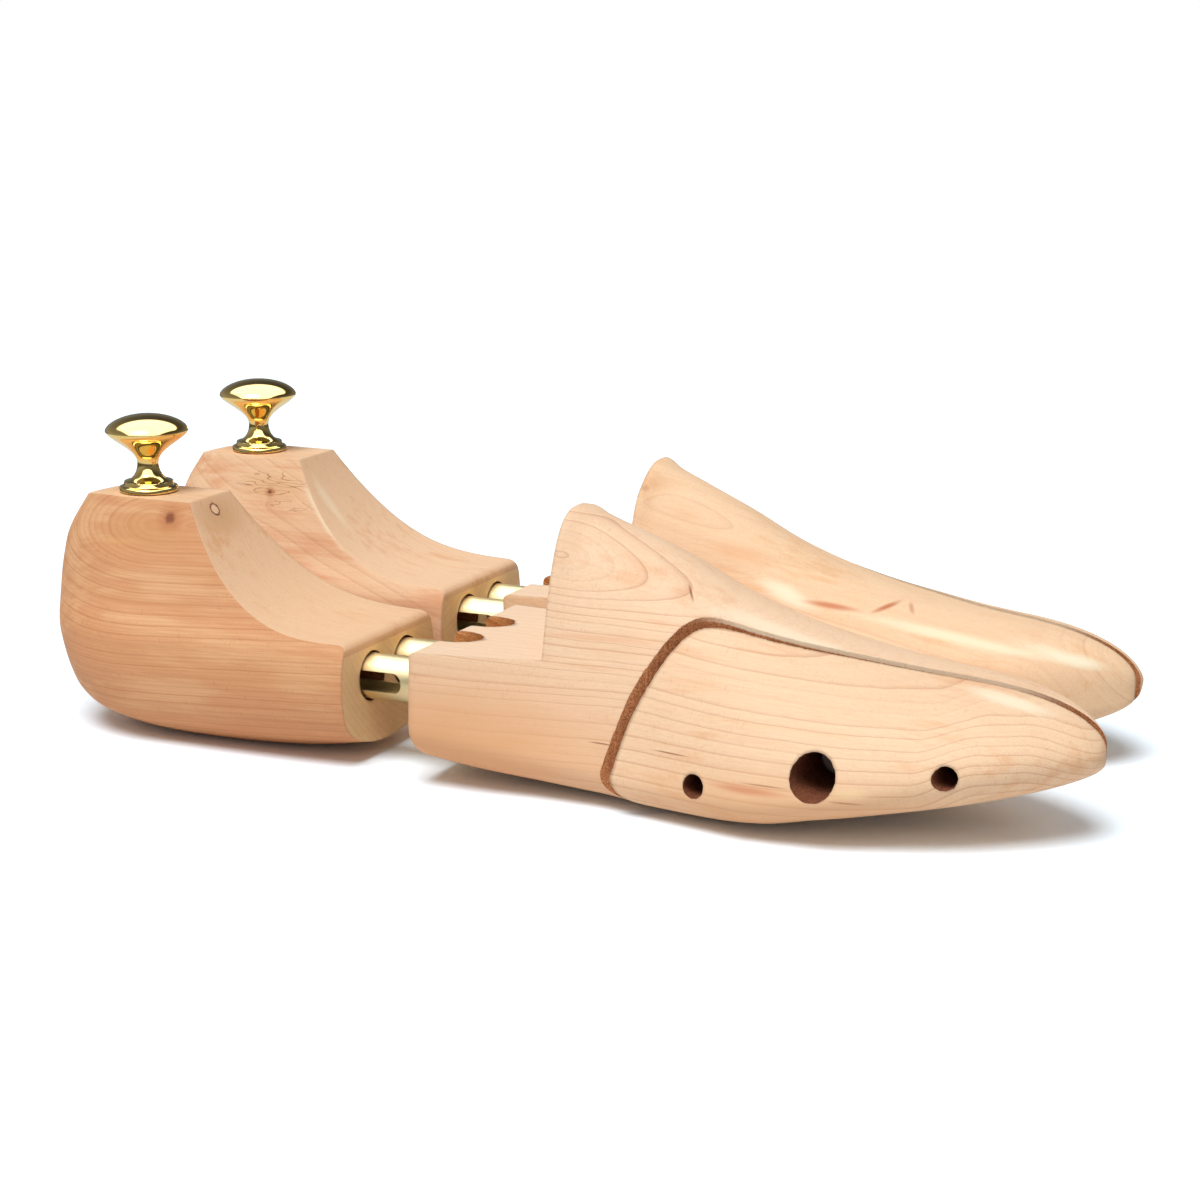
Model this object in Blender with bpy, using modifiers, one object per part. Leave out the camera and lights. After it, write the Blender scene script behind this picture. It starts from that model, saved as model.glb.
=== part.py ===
"""A pair of adjustable shoe trees: turned heel blocks on slotted tubes, and split foreparts.

Units are metres. +X runs from heel to toe, +Y from the right tree to the left tree, +Z up.
The origin is on the floor, at the centre of the pair's box.

Each tree is worked out in its own frame: x from the knob's axis towards the toe, y from the
tree's middle plane towards the inner side of the foot, z up from the floor. The left tree is
the right one mirrored in y.
"""

import math

import bmesh
import bpy
from mathutils import Matrix, Vector

MM = 0.001

# Pair
TREE_SPACING = 72.1 * MM
LEFT_SETBACK = 7.8 * MM

# Clearances
SEAT_GAP = 0.3 * MM
WOOD_FIT = 0.15 * MM
BORE_PLAY = 0.65 * MM
PIVOT_PLAY = 0.08 * MM
TUBE_END_PLAY = 1.0 * MM
CUT_PAST = 5.0 * MM

# Tubes
TUBE_RADIUS = 6.35 * MM
TUBE_WALL = 0.9 * MM
TUBE_SPACING = 19.0 * MM
TUBE_HEIGHT = 23.8 * MM
TUBE_PAST_PIVOT = 13.0 * MM
TUBE_IN_HEEL = 32.4 * MM
SLOT_HEIGHT = 5.6 * MM

# Heel block
HEEL_HEIGHT = 67.6 * MM
HEEL_REAR = 28.0 * MM
HEEL_FRONT = 77.4 * MM
HEEL_HALF_WIDTH = 27.6 * MM
SLOPE_START = 20.5 * MM
SLOPE_FOOT_HEIGHT = 35.1 * MM
SLOPE_POWER = 3.0
FRONT_CHAMFER = 2.2 * MM
TOP_FALL = 1.4 * MM
TOP_FALL_START = 6.0 * MM
TOP_REACH = 18.2 * MM

# Heel pin and springs
CROSS_PIN_RADIUS = 2.0 * MM
CROSS_PIN_SETBACK = 10.0 * MM
CROSS_PIN_REACH = 3.5 * MM
PIN_RECESS = 1.2 * MM
HEEL_SPRING_LENGTH = 35.0 * MM
HEEL_SPRING_WIRE = 1.0 * MM
HEEL_SPRING_CURLS = 6
HEEL_TRAVEL = 20.0 * MM

# Knob and stud
KNOB_RIM_RADIUS = 11.75 * MM
KNOB_NECK_RADIUS = 3.0 * MM
KNOB_FLANGE_RADIUS = 8.3 * MM
KNOB_BEAD_RADIUS = 7.0 * MM
KNOB_HEIGHT = 22.0 * MM
KNOB_RIM_HEIGHT = 17.4 * MM
KNOB_NECK_HEIGHT = 8.0 * MM
KNOB_BOWL_POWER = 0.8
KNOB_FLANGE_THICKNESS = 1.4 * MM
KNOB_EDGE_WIDTH = 0.4 * MM
KNOB_EDGE_DROP = 0.3 * MM
STUD_RADIUS = 2.0 * MM
STUD_IN_KNOB = 8.5 * MM
STUD_IN_HEEL = 22.0 * MM

# Forepart
FORE_REAR = 99.3 * MM
FORE_TOE = 279.0 * MM
BLOCK_HEIGHT = 37.5 * MM
BLOCK_CORNER = 3.0 * MM
STEP_AT = 135.8 * MM
RIDGE_HEIGHT = 75.8 * MM
PEAK_RADIUS = 0.6 * MM
BALL_LATERAL = 37.5 * MM
BALL_MEDIAL = 34.0 * MM
TOE_HEIGHT = 23.3 * MM
TOE_ROUNDING = 33.5 * MM
TOE_TWIST_POWER = 0.4
PIVOT_SETBACK = 39.7 * MM
PIVOT_RADIUS = 2.5 * MM
TILT_LIMIT = math.radians(12.0)
TILT_SPARE = math.radians(1.6)

# Split toe
KERF = 1.8 * MM
KERF_SWING = 1.6 * MM
KERF_CLOSED = 0.5 * MM
SPREAD_TRAVEL = 2.3 * MM
GUIDE_HOLE_RADIUS = 3.05 * MM
GUIDE_PIN_RADIUS = 2.5 * MM
GUIDE_PIN_IN_MAIN = 14.0 * MM
GUIDE_PIN_IN_SIDE = 12.0 * MM
REAR_GUIDE_AT = 183.4 * MM
REAR_GUIDE_HEIGHT = 12.6 * MM
FRONT_GUIDE_AT = 246.8 * MM
FRONT_GUIDE_HEIGHT = 21.0 * MM
BOLT_AT = 215.4 * MM
BOLT_HEIGHT = 19.2 * MM
BOLT_RADIUS = 2.0 * MM
BOLT_PLAY = 0.4 * MM
BOLT_HEAD_RADIUS = 4.3 * MM
BOLT_HEAD_HEIGHT = 3.2 * MM
BOLT_SOCKET_RADIUS = 2.2 * MM
BOLT_SOCKET_DEPTH = 1.8 * MM
BOLT_SEAT_WALL = 8.0 * MM
BOLT_IN_MAIN = 22.0 * MM
COUNTERBORE_RADIUS = 5.9 * MM
SPREAD_SPRING_RADIUS = 3.5 * MM
SPREAD_SPRING_WIRE = 0.8 * MM
SPREAD_SPRING_CURLS = 3.5
SPREAD_POCKET_RADIUS = 4.5 * MM
SPREAD_POCKET_DEPTH = 8.0 * MM
SPREAD_SEAT_DEPTH = 1.5 * MM

# Rows of the heel block's level slices, as shares of its height, its reach behind the knob's
# axis, its reach to the front face (widest place, then front end), and its half width. The last
# value is how square the front of the slice is.
HEEL_SLICES = (
    (-0.008, -0.30, 0.42, 0.72, 0.13, 2.0),
    (0.018, 0.04, 0.36, 0.84, 0.42, 2.2),
    (0.045, 0.31, 0.30, 0.94, 0.59, 2.4),
    (0.126, 0.65, 0.20, 1.20, 0.86, 3.4),
    (0.207, 0.80, 0.16, 1.32, 0.957, 4.2),
    (0.340, 0.915, 0.13, 1.36, 1.0, 4.5),
    (0.444, 0.98, 0.12, 1.36, 0.975, 4.5),
    (0.592, 1.0, 0.09, 1.26, 0.785, 3.8),
    (0.784, 0.945, 0.04, 1.11, 0.60, 3.0),
    (1.036, 0.60, 0.025, 0.85, 0.345, 2.2),
)
HEEL_LEVELS = (-0.008, 0.006, 0.02, 0.045, 0.08, 0.126, 0.18, 0.25, 0.34, 0.43,
               0.5, 0.57, 0.65, 0.74, 0.83, 0.92, 1.02)

# Rows of the forepart's cross sections: distance from the rear face to the toe as a share,
# outer and inner half widths as shares of the ball's, sole height, height of the widest place,
# ridge height as a share of RIDGE_HEIGHT, inward lean of the wall, squareness of the
# ridge, how far the ridge lies towards the inner side, and how far the inner side hangs lower.
FORE_SECTIONS = (
    (0.000, 0.83, 0.94, 5.0, 18.0, 1.320, 0.12, 6.0, 0.0, 0.0),
    (0.090, 0.82, 0.94, 3.0, 16.0, 1.175, 0.28, 6.5, 0.0, 0.0),
    (0.203, 0.76, 0.918, 1.2, 13.0, 0.989, 0.48, 6.7, -0.5, 0.0),
    (0.235, 0.755, 0.918, 0.8, 12.4, 0.958, 0.47, 4.8, -0.2, 0.0),
    (0.285, 0.755, 0.915, 0.3, 11.5, 0.910, 0.44, 4.4, 1.0, 0.0),
    (0.365, 0.81, 0.945, -0.4, 10.5, 0.829, 0.37, 3.8, 3.0, 0.0),
    (0.450, 0.90, 0.985, -0.5, 11.0, 0.722, 0.31, 3.5, 4.4, 0.0),
    (0.560, 1.00, 1.00, 1.0, 12.0, 0.625, 0.24, 3.1, 6.1, 0.3),
    (0.645, 0.995, 0.985, 4.4, 14.0, 0.577, 0.18, 2.8, 6.4, 0.8),
    (0.755, 0.865, 0.90, 7.8, 18.0, 0.532, 0.12, 2.5, 5.8, 1.8),
    (0.866, 0.69, 0.74, 11.9, 22.5, 0.506, 0.08, 2.4, 5.4, 3.8),
    (1.000, 0.44, 0.50, 15.4, 25.5, 0.496, 0.05, 2.4, 3.8, 5.8),
)
FORE_STATIONS = (0.03, 0.08, 0.14, 0.20, 0.225, 0.25, 0.30, 0.35, 0.40, 0.45, 0.50, 0.56, 0.62,
                 0.68, 0.74, 0.80, 0.85, 0.90, 0.935, 0.962, 0.981, 0.992, 0.9985)

# The saw cut seen from above: distance from the rear face to the toe as a share, and distance
# from the middle plane towards the outer side.
KERF_ROUTE = (
    (0.265, 34.0),
    (0.308, 28.7),
    (0.345, 24.2),
    (0.368, 21.6),
    (0.386, 18.8),
    (0.406, 15.2),
    (0.427, 12.0),
    (0.455, 10.0),
    (0.510, 8.4),
    (0.636, 3.6),
    (0.774, -0.8),
    (0.900, -2.8),
    (1.060, -4.5),
)

CEDAR = (0.78, 0.55, 0.38)
PALE_BRASS = (0.83, 0.72, 0.45)
GOLD_BRASS = (0.86, 0.63, 0.22)
STEEL = (0.55, 0.55, 0.56)

PIVOT_AT = FORE_REAR + PIVOT_SETBACK
CROSS_PIN_AT = HEEL_FRONT - CROSS_PIN_SETBACK
TUBE_FRONT = PIVOT_AT + TUBE_PAST_PIVOT
TUBE_REAR = HEEL_FRONT - TUBE_IN_HEEL
BORE_RADIUS = TUBE_RADIUS + BORE_PLAY
BORE_BOTTOM = TUBE_REAR - HEEL_SPRING_LENGTH
SPREAD = SPREAD_TRAVEL + KERF_CLOSED - KERF
FORE_LENGTH = FORE_TOE - FORE_REAR
TOE_END = FORE_REAR + FORE_STATIONS[-1] * FORE_LENGTH
PAIR_MIDDLE = (TOE_END - HEEL_REAR - LEFT_SETBACK) / 2.0
TUBE_SIDES = (("lateral", -TUBE_SPACING / 2.0), ("medial", TUBE_SPACING / 2.0))


def clear_scene():
    """Remove what the file opened with."""
    for item in list(bpy.data.objects):
        bpy.data.objects.remove(item, do_unlink=True)


def make_collection(name):
    collection = bpy.data.collections.new(name)
    bpy.context.scene.collection.children.link(collection)
    return collection


def make_material(name, colour, roughness, metallic):
    material = bpy.data.materials.new(name)
    material.use_nodes = True
    shader = material.node_tree.nodes["Principled BSDF"]
    shader.inputs["Base Color"].default_value = (*colour, 1.0)
    shader.inputs["Roughness"].default_value = roughness
    shader.inputs["Metallic"].default_value = metallic
    material.diffuse_color = (*colour, 1.0)
    return material


def smooth_row(rows, at):
    """Read a table of rows at a value of its first column, along a monotone cubic."""
    keys = [row[0] for row in rows]
    at = min(max(at, keys[0]), keys[-1])
    index = 0
    while index < len(keys) - 2 and at > keys[index + 1]:
        index += 1
    step = keys[index + 1] - keys[index]
    t = (at - keys[index]) / step
    values = []
    for column in range(1, len(rows[0])):
        slopes = []
        for k in (index, index + 1):
            if k in (0, len(keys) - 1):
                near = 0 if k == 0 else len(keys) - 2
                rise = rows[near + 1][column] - rows[near][column]
                slopes.append(rise / (keys[near + 1] - keys[near]))
                continue
            before = (rows[k][column] - rows[k - 1][column]) / (keys[k] - keys[k - 1])
            after = (rows[k + 1][column] - rows[k][column]) / (keys[k + 1] - keys[k])
            slopes.append(0.0 if before * after <= 0 else 2 * before * after / (before + after))
        low = rows[index][column]
        high = rows[index + 1][column]
        values.append((2 * t**3 - 3 * t**2 + 1) * low + (t**3 - 2 * t**2 + t) * step * slopes[0]
                      + (3 * t**2 - 2 * t**3) * high + (t**3 - t**2) * step * slopes[1])
    return values


def signed_power(value, power):
    return math.copysign(abs(value) ** power, value)


class Tree:
    """One shoe tree: its frame, its empties and helpers that build in that frame."""

    def __init__(self, side, hand, parts, cutters, looks):
        self.side = side
        self.hand = hand
        self.parts = parts
        self.cutters = cutters
        self.looks = looks
        setback = 0.0 if side == "right" else LEFT_SETBACK
        at = Vector((-PAIR_MIDDLE - setback, -hand * TREE_SPACING / 2.0, 0.0))
        self.base = self.empty("tree", Vector((0, 0, 0)), None)
        self.base.location = at
        tube_pivot = Vector((PIVOT_AT, 0.0, TUBE_HEIGHT))
        heel_pin = Vector((CROSS_PIN_AT, 0.0, TUBE_HEIGHT))
        bolt = Vector((BOLT_AT, -self.kerf_at(BOLT_AT) * hand, BOLT_HEIGHT))
        self.tilt = self.empty("tube_tilt", tube_pivot, self.base)
        self.slide = self.empty("heel_slide", heel_pin, self.tilt)
        self.spread = self.empty("toe_spread", bolt, self.base)

    def empty(self, name, at, parent):
        item = bpy.data.objects.new(self.side + "_" + name, None)
        item.empty_display_size = 0.01
        self.parts.objects.link(item)
        item["tree_at"] = at[:]
        if parent is not None:
            item.parent = parent
            item.location = at - Vector(parent["tree_at"])
        return item

    @staticmethod
    def kerf_at(x):
        """Distance of the cut's inner face from the middle plane, towards the outer side."""
        share = (x - FORE_REAR) / FORE_LENGTH
        return smooth_row(KERF_ROUTE, share)[0] * MM

    def add(self, name, mesh_or_bm, parent, look=None, cutter=False, smooth=None):
        """Put a mesh given in the tree's frame under an empty, as a part or as a cutter."""
        if isinstance(mesh_or_bm, bmesh.types.BMesh):
            bm = mesh_or_bm
        else:
            bm = bmesh.new()
            bm.from_mesh(mesh_or_bm)
        if self.hand < 0:
            bmesh.ops.transform(bm, matrix=Matrix.Scale(-1.0, 4, (0, 1, 0)), verts=bm.verts)
            bmesh.ops.reverse_faces(bm, faces=bm.faces)
        bmesh.ops.recalc_face_normals(bm, faces=bm.faces)
        bmesh.ops.translate(bm, vec=-Vector(parent["tree_at"]), verts=bm.verts)
        full_name = self.side + "_" + name
        mesh = bpy.data.meshes.new(full_name)
        bm.to_mesh(mesh)
        bm.free()
        if smooth is not None:
            mesh.shade_smooth()
            mesh.set_sharp_from_angle(angle=math.radians(smooth))
        item = bpy.data.objects.new(full_name, mesh)
        item.parent = parent
        if cutter:
            self.cutters.objects.link(item)
            item.hide_render = True
            item.display_type = "WIRE"
        else:
            self.parts.objects.link(item)
            mesh.materials.append(self.looks[look])
        return item

    @staticmethod
    def combine(item, cutter, operation):
        modifier = item.modifiers.new(cutter.name, "BOOLEAN")
        modifier.operation = operation
        modifier.object = cutter
        modifier.solver = "EXACT"


def ring_loft(rings):
    """Skin between rings of equal point count, with flat ends."""
    bm = bmesh.new()
    loops = [[bm.verts.new(point) for point in ring] for ring in rings]
    for low, high in zip(loops[:-1], loops[1:]):
        count = len(low)
        for k in range(count):
            j = (k + 1) % count
            bm.faces.new((low[k], low[j], high[j], high[k]))
    bm.faces.new(list(reversed(loops[0])))
    bm.faces.new(loops[-1])
    bmesh.ops.recalc_face_normals(bm, faces=bm.faces)
    return bm


def outline_solid(points, thickness):
    """Fill a flat outline in XY as a 2D curve, thick about z = 0, and give its mesh."""
    curve = bpy.data.curves.new("outline", "CURVE")
    curve.dimensions = "2D"
    curve.fill_mode = "BOTH"
    curve.extrude = thickness / 2.0
    spline = curve.splines.new("POLY")
    spline.points.add(len(points) - 1)
    for point, (x, y) in zip(spline.points, points):
        point.co = (x, y, 0.0, 1.0)
    spline.use_cyclic_u = True
    return curve_mesh(curve)


def curve_mesh(curve):
    """Give the closed mesh of a curve, and remove the curve."""
    item = bpy.data.objects.new("curve", curve)
    bpy.context.scene.collection.objects.link(item)
    bpy.context.view_layer.update()
    graph = bpy.context.evaluated_depsgraph_get()
    mesh = bpy.data.meshes.new_from_object(item.evaluated_get(graph))
    bpy.data.objects.remove(item, do_unlink=True)
    bm = bmesh.new()
    bm.from_mesh(mesh)
    bmesh.ops.remove_doubles(bm, verts=bm.verts, dist=0.00002)
    bpy.data.meshes.remove(mesh)
    return bm


def upright(bm):
    """Turn an XY outline so that it stands in XZ, thick along Y."""
    bmesh.ops.transform(bm, matrix=Matrix.Rotation(math.radians(90), 4, "X"), verts=bm.verts)
    return bm


def rod(radius, start, end, segments=20):
    """A capped cylinder between two points."""
    start = Vector(start)
    end = Vector(end)
    run = end - start
    bm = bmesh.new()
    bmesh.ops.create_cone(bm, cap_ends=True, segments=segments, radius1=radius, radius2=radius,
                          depth=run.length)
    turn = run.to_track_quat("Z", "Y").to_matrix().to_4x4()
    bmesh.ops.transform(bm, matrix=Matrix.Translation((start + end) / 2.0) @ turn,
                        verts=bm.verts)
    return bm


def block(low, high):
    """A box between two corners."""
    low = Vector(low)
    high = Vector(high)
    bm = bmesh.new()
    bmesh.ops.create_cube(bm, size=1.0)
    size = high - low
    matrix = Matrix.Translation((low + high) / 2.0) @ Matrix.Diagonal((*size, 1.0))
    bmesh.ops.transform(bm, matrix=matrix, verts=bm.verts)
    return bm


def turned(profile, steps):
    """Turn a profile of (radius, height) about Z with a Screw modifier, and give its mesh."""
    mesh = bpy.data.meshes.new("profile")
    points = [(radius, 0.0, height) for radius, height in profile]
    edges = [(k, k + 1) for k in range(len(points) - 1)]
    if profile[0][0] > 0.0:
        edges.append((len(points) - 1, 0))
    mesh.from_pydata(points, edges, [])
    item = bpy.data.objects.new("profile", mesh)
    bpy.context.scene.collection.objects.link(item)
    screw = item.modifiers.new("turn", "SCREW")
    screw.angle = 2.0 * math.pi
    screw.steps = steps
    screw.render_steps = steps
    screw.use_merge_vertices = True
    screw.merge_threshold = 0.00001
    bpy.context.view_layer.update()
    graph = bpy.context.evaluated_depsgraph_get()
    result = bpy.data.meshes.new_from_object(item.evaluated_get(graph))
    bpy.data.objects.remove(item, do_unlink=True)
    bm = bmesh.new()
    bm.from_mesh(result)
    bmesh.ops.remove_doubles(bm, verts=bm.verts, dist=0.00001)
    bpy.data.meshes.remove(result)
    bmesh.ops.recalc_face_normals(bm, faces=bm.faces)
    return bm


def coil(radius, wire, start, length, curls, points_per_curl=8):
    """A coil spring as one wire tube, from a start point along +X."""
    curve = bpy.data.curves.new("coil", "CURVE")
    curve.dimensions = "3D"
    curve.bevel_depth = wire / 2.0
    curve.bevel_resolution = 2
    curve.use_fill_caps = True
    spline = curve.splines.new("POLY")
    count = int(curls * points_per_curl) + 1
    spline.points.add(count - 1)
    run = length - wire
    for k, point in enumerate(spline.points):
        angle = 2.0 * math.pi * k / points_per_curl
        x = start[0] + wire / 2.0 + run * k / (count - 1)
        y = start[1] + radius * math.cos(angle)
        z = start[2] + radius * math.sin(angle)
        point.co = (x, y, z, 1.0)
    return curve_mesh(curve)


def heel_ring(level):
    """One level slice of the heel block."""
    rear, widest, front, half, square = smooth_row(HEEL_SLICES, level)
    middle = widest * HEEL_FRONT
    behind = middle + rear * HEEL_REAR
    ahead = front * HEEL_FRONT - middle
    points = []
    count = 32
    for k in range(count):
        angle = 2.0 * math.pi * (k + 0.5) / count
        cosine = math.cos(angle)
        power = 2.0 / square if cosine > 0 else 2.0 / 2.15
        reach = ahead if cosine > 0 else behind
        x = middle + reach * signed_power(cosine, power)
        y = half * HEEL_HALF_WIDTH * signed_power(math.sin(angle), power)
        points.append((x, y, level * HEEL_HEIGHT))
    return points


def slope_height(x):
    """Height of the concave slope between the heel's flat top and its front face."""
    share = (HEEL_FRONT - x) / (HEEL_FRONT - SLOPE_START)
    return SLOPE_FOOT_HEIGHT + (HEEL_HEIGHT - SLOPE_FOOT_HEIGHT) * share**SLOPE_POWER


def heel_side_outline():
    """Side view of the heel block: floor, front face, chamfer, slope, and top falling behind."""
    behind = -HEEL_REAR - CUT_PAST
    points = [(behind, 0.0), (HEEL_FRONT, 0.0), (HEEL_FRONT, SLOPE_FOOT_HEIGHT - FRONT_CHAMFER)]
    start = HEEL_FRONT - FRONT_CHAMFER
    steps = 12
    for k in range(steps + 1):
        share = k / steps
        x = start + (SLOPE_START - start) * share
        points.append((x, slope_height(x)))
    steps = 6
    for k in range(steps + 1):
        x = -TOP_FALL_START + (behind + TOP_FALL_START) * k / steps
        share = (x + TOP_FALL_START) / (TOP_REACH - TOP_FALL_START)
        points.append((x, HEEL_HEIGHT - TOP_FALL * share**2))
    return points


def build_heel(tree):
    body = ring_loft([heel_ring(level) for level in HEEL_LEVELS])
    heel = tree.add("heel_block", body, tree.slide, look="cedar", smooth=35)
    width = 3.0 * HEEL_HALF_WIDTH
    outline = upright(outline_solid(heel_side_outline(), width))
    tree.combine(heel, tree.add("heel_outline", outline, tree.slide, cutter=True), "INTERSECT")
    for name, y in TUBE_SIDES:
        bore = rod(BORE_RADIUS, (BORE_BOTTOM, y, TUBE_HEIGHT),
                   (HEEL_FRONT + CUT_PAST, y, TUBE_HEIGHT), 24)
        cutter = tree.add("heel_bore_" + name, bore, tree.slide, cutter=True)
        tree.combine(heel, cutter, "DIFFERENCE")
    pin_end = TUBE_SPACING / 2.0 + TUBE_RADIUS + CROSS_PIN_REACH
    hole = rod(CROSS_PIN_RADIUS + WOOD_FIT, (CROSS_PIN_AT, -pin_end - WOOD_FIT, TUBE_HEIGHT),
               (CROSS_PIN_AT, HEEL_HALF_WIDTH + CUT_PAST, TUBE_HEIGHT), 16)
    cutter = tree.add("heel_pin_hole", hole, tree.slide, cutter=True)
    tree.combine(heel, cutter, "DIFFERENCE")
    stud_hole = rod(STUD_RADIUS + WOOD_FIT, (0, 0, HEEL_HEIGHT - STUD_IN_HEEL - WOOD_FIT),
                    (0, 0, HEEL_HEIGHT + CUT_PAST), 16)
    cutter = tree.add("heel_stud_hole", stud_hole, tree.slide, cutter=True)
    tree.combine(heel, cutter, "DIFFERENCE")

    pin_outer = heel_half_width_at(CROSS_PIN_AT, TUBE_HEIGHT) - PIN_RECESS
    pin = rod(CROSS_PIN_RADIUS, (CROSS_PIN_AT, -pin_end, TUBE_HEIGHT),
              (CROSS_PIN_AT, pin_outer, TUBE_HEIGHT), 16)
    tree.add("heel_cross_pin", pin, tree.slide, look="steel", smooth=35)
    for name, y in TUBE_SIDES:
        spring = coil(TUBE_RADIUS - TUBE_WALL / 2.0, HEEL_SPRING_WIRE,
                      (BORE_BOTTOM + SEAT_GAP, y, TUBE_HEIGHT),
                      HEEL_SPRING_LENGTH - 2.0 * SEAT_GAP, HEEL_SPRING_CURLS)
        tree.add("heel_spring_" + name, spring, tree.slide, look="steel", smooth=60)


def heel_half_width_at(x, z):
    """Half width of the heel block ahead of its widest place."""
    _, widest, front, half, square = smooth_row(HEEL_SLICES, z / HEEL_HEIGHT)
    middle = widest * HEEL_FRONT
    share = (x - middle) / (front * HEEL_FRONT - middle)
    return half * HEEL_HALF_WIDTH * (1.0 - share**square) ** (1.0 / square)


def knob_profile():
    """Half section of the knob from the dome's middle down its outer side to the stud hole."""
    points = [(0.0, KNOB_HEIGHT)]
    dome = KNOB_HEIGHT - KNOB_RIM_HEIGHT
    steps = 6
    for k in range(1, steps + 1):
        angle = math.radians(90.0) * k / steps
        radius = KNOB_RIM_RADIUS * math.sin(angle)
        points.append((radius, KNOB_RIM_HEIGHT + dome * math.cos(angle) ** 1.2))
    neck_rise = KNOB_RIM_HEIGHT - KNOB_NECK_HEIGHT
    steps = 6
    for k in range(1, steps + 1):
        share = k / steps
        radius = KNOB_NECK_RADIUS + (KNOB_RIM_RADIUS - KNOB_NECK_RADIUS) * (
            0.5 + 0.5 * math.cos(math.pi * share**KNOB_BOWL_POWER))
        points.append((radius, KNOB_RIM_HEIGHT - neck_rise * share))
    flare = KNOB_NECK_HEIGHT - 2.0 * KNOB_FLANGE_THICKNESS
    steps = 3
    for k in range(1, steps + 1):
        angle = math.radians(80.0) * k / steps
        radius = KNOB_NECK_RADIUS + (KNOB_BEAD_RADIUS - KNOB_NECK_RADIUS) * (1 - math.cos(angle))
        points.append((radius, KNOB_NECK_HEIGHT - flare * math.sin(angle)))
    bead = 2.0 * KNOB_FLANGE_THICKNESS
    points.append((KNOB_BEAD_RADIUS, bead * 0.9))
    points.append((KNOB_BEAD_RADIUS, bead * 0.62))
    points.append((KNOB_FLANGE_RADIUS - KNOB_EDGE_WIDTH, KNOB_FLANGE_THICKNESS))
    points.append((KNOB_FLANGE_RADIUS, KNOB_FLANGE_THICKNESS - KNOB_EDGE_DROP))
    points.append((KNOB_FLANGE_RADIUS, 0.0))
    hole = STUD_RADIUS + WOOD_FIT
    points.append((hole, 0.0))
    points.append((hole, STUD_IN_KNOB + WOOD_FIT))
    points.append((0.0, STUD_IN_KNOB + WOOD_FIT))
    return points


def build_knob(tree):
    seat = HEEL_HEIGHT + SEAT_GAP
    body = turned(knob_profile(), 20)
    bmesh.ops.translate(body, vec=(0, 0, seat), verts=body.verts)
    tree.add("knob", body, tree.slide, look="gold", smooth=35)
    stud = rod(STUD_RADIUS, (0, 0, HEEL_HEIGHT - STUD_IN_HEEL), (0, 0, seat + STUD_IN_KNOB), 14)
    tree.add("knob_stud", stud, tree.slide, look="steel", smooth=35)


def build_tubes(tree):
    slot_rear = CROSS_PIN_AT - CROSS_PIN_RADIUS - SEAT_GAP
    slot_front = CROSS_PIN_AT + HEEL_TRAVEL + CROSS_PIN_RADIUS + SEAT_GAP
    inner = TUBE_RADIUS - TUBE_WALL
    for name, y in TUBE_SIDES:
        profile = [(TUBE_RADIUS, TUBE_FRONT), (TUBE_RADIUS, TUBE_REAR), (inner, TUBE_REAR),
                   (inner, TUBE_FRONT)]
        shell = turned(profile, 24)
        turn = Matrix.Rotation(math.radians(90), 4, "Y")
        bmesh.ops.transform(shell, matrix=turn, verts=shell.verts)
        bmesh.ops.translate(shell, vec=(0, y, TUBE_HEIGHT), verts=shell.verts)
        tube = tree.add("tube_" + name, shell, tree.tilt, look="brass", smooth=35)
        half = SLOT_HEIGHT / 2.0
        outline = []
        for centre, start in ((slot_front - half, -90.0), (slot_rear + half, 90.0)):
            for k in range(9):
                angle = math.radians(start + 22.5 * k)
                outline.append((centre + half * math.cos(angle), half * math.sin(angle)))
        slot = upright(outline_solid(outline, 3.0 * TUBE_RADIUS))
        bmesh.ops.translate(slot, vec=(0, y, TUBE_HEIGHT), verts=slot.verts)
        cutter = tree.add("slot_" + name, slot, tree.tilt, cutter=True)
        tree.combine(tube, cutter, "DIFFERENCE")
        hole = rod(PIVOT_RADIUS + PIVOT_PLAY, (PIVOT_AT, y - 2.0 * TUBE_RADIUS, TUBE_HEIGHT),
                   (PIVOT_AT, y + 2.0 * TUBE_RADIUS, TUBE_HEIGHT), 24)
        cutter = tree.add("tube_pivot_hole_" + name, hole, tree.tilt, cutter=True)
        tree.combine(tube, cutter, "DIFFERENCE")


def fore_section(share):
    """Sizes of the forepart's cross section at a share of its length, in metres."""
    row = smooth_row(FORE_SECTIONS, share)
    lateral = row[0] * BALL_LATERAL
    medial = row[1] * BALL_MEDIAL
    low = row[2] * MM
    waist = row[3] * MM
    high = row[4] * RIDGE_HEIGHT
    crest = row[7] * MM
    sag = row[8] * MM
    x = FORE_REAR + share * FORE_LENGTH
    into_toe = (x - (FORE_TOE - TOE_ROUNDING)) / TOE_ROUNDING
    if into_toe > 0.0:
        shrink = math.sqrt(max(0.0, 1.0 - into_toe**2))
        lateral *= shrink
        medial *= shrink
        low = TOE_HEIGHT + (low - TOE_HEIGHT) * shrink
        waist = TOE_HEIGHT + (waist - TOE_HEIGHT) * shrink
        high = TOE_HEIGHT + (high - TOE_HEIGHT) * shrink
        crest *= shrink**TOE_TWIST_POWER
        sag *= shrink**TOE_TWIST_POWER
    return lateral, medial, low, waist, high, row[5], row[6], crest, sag


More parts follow.
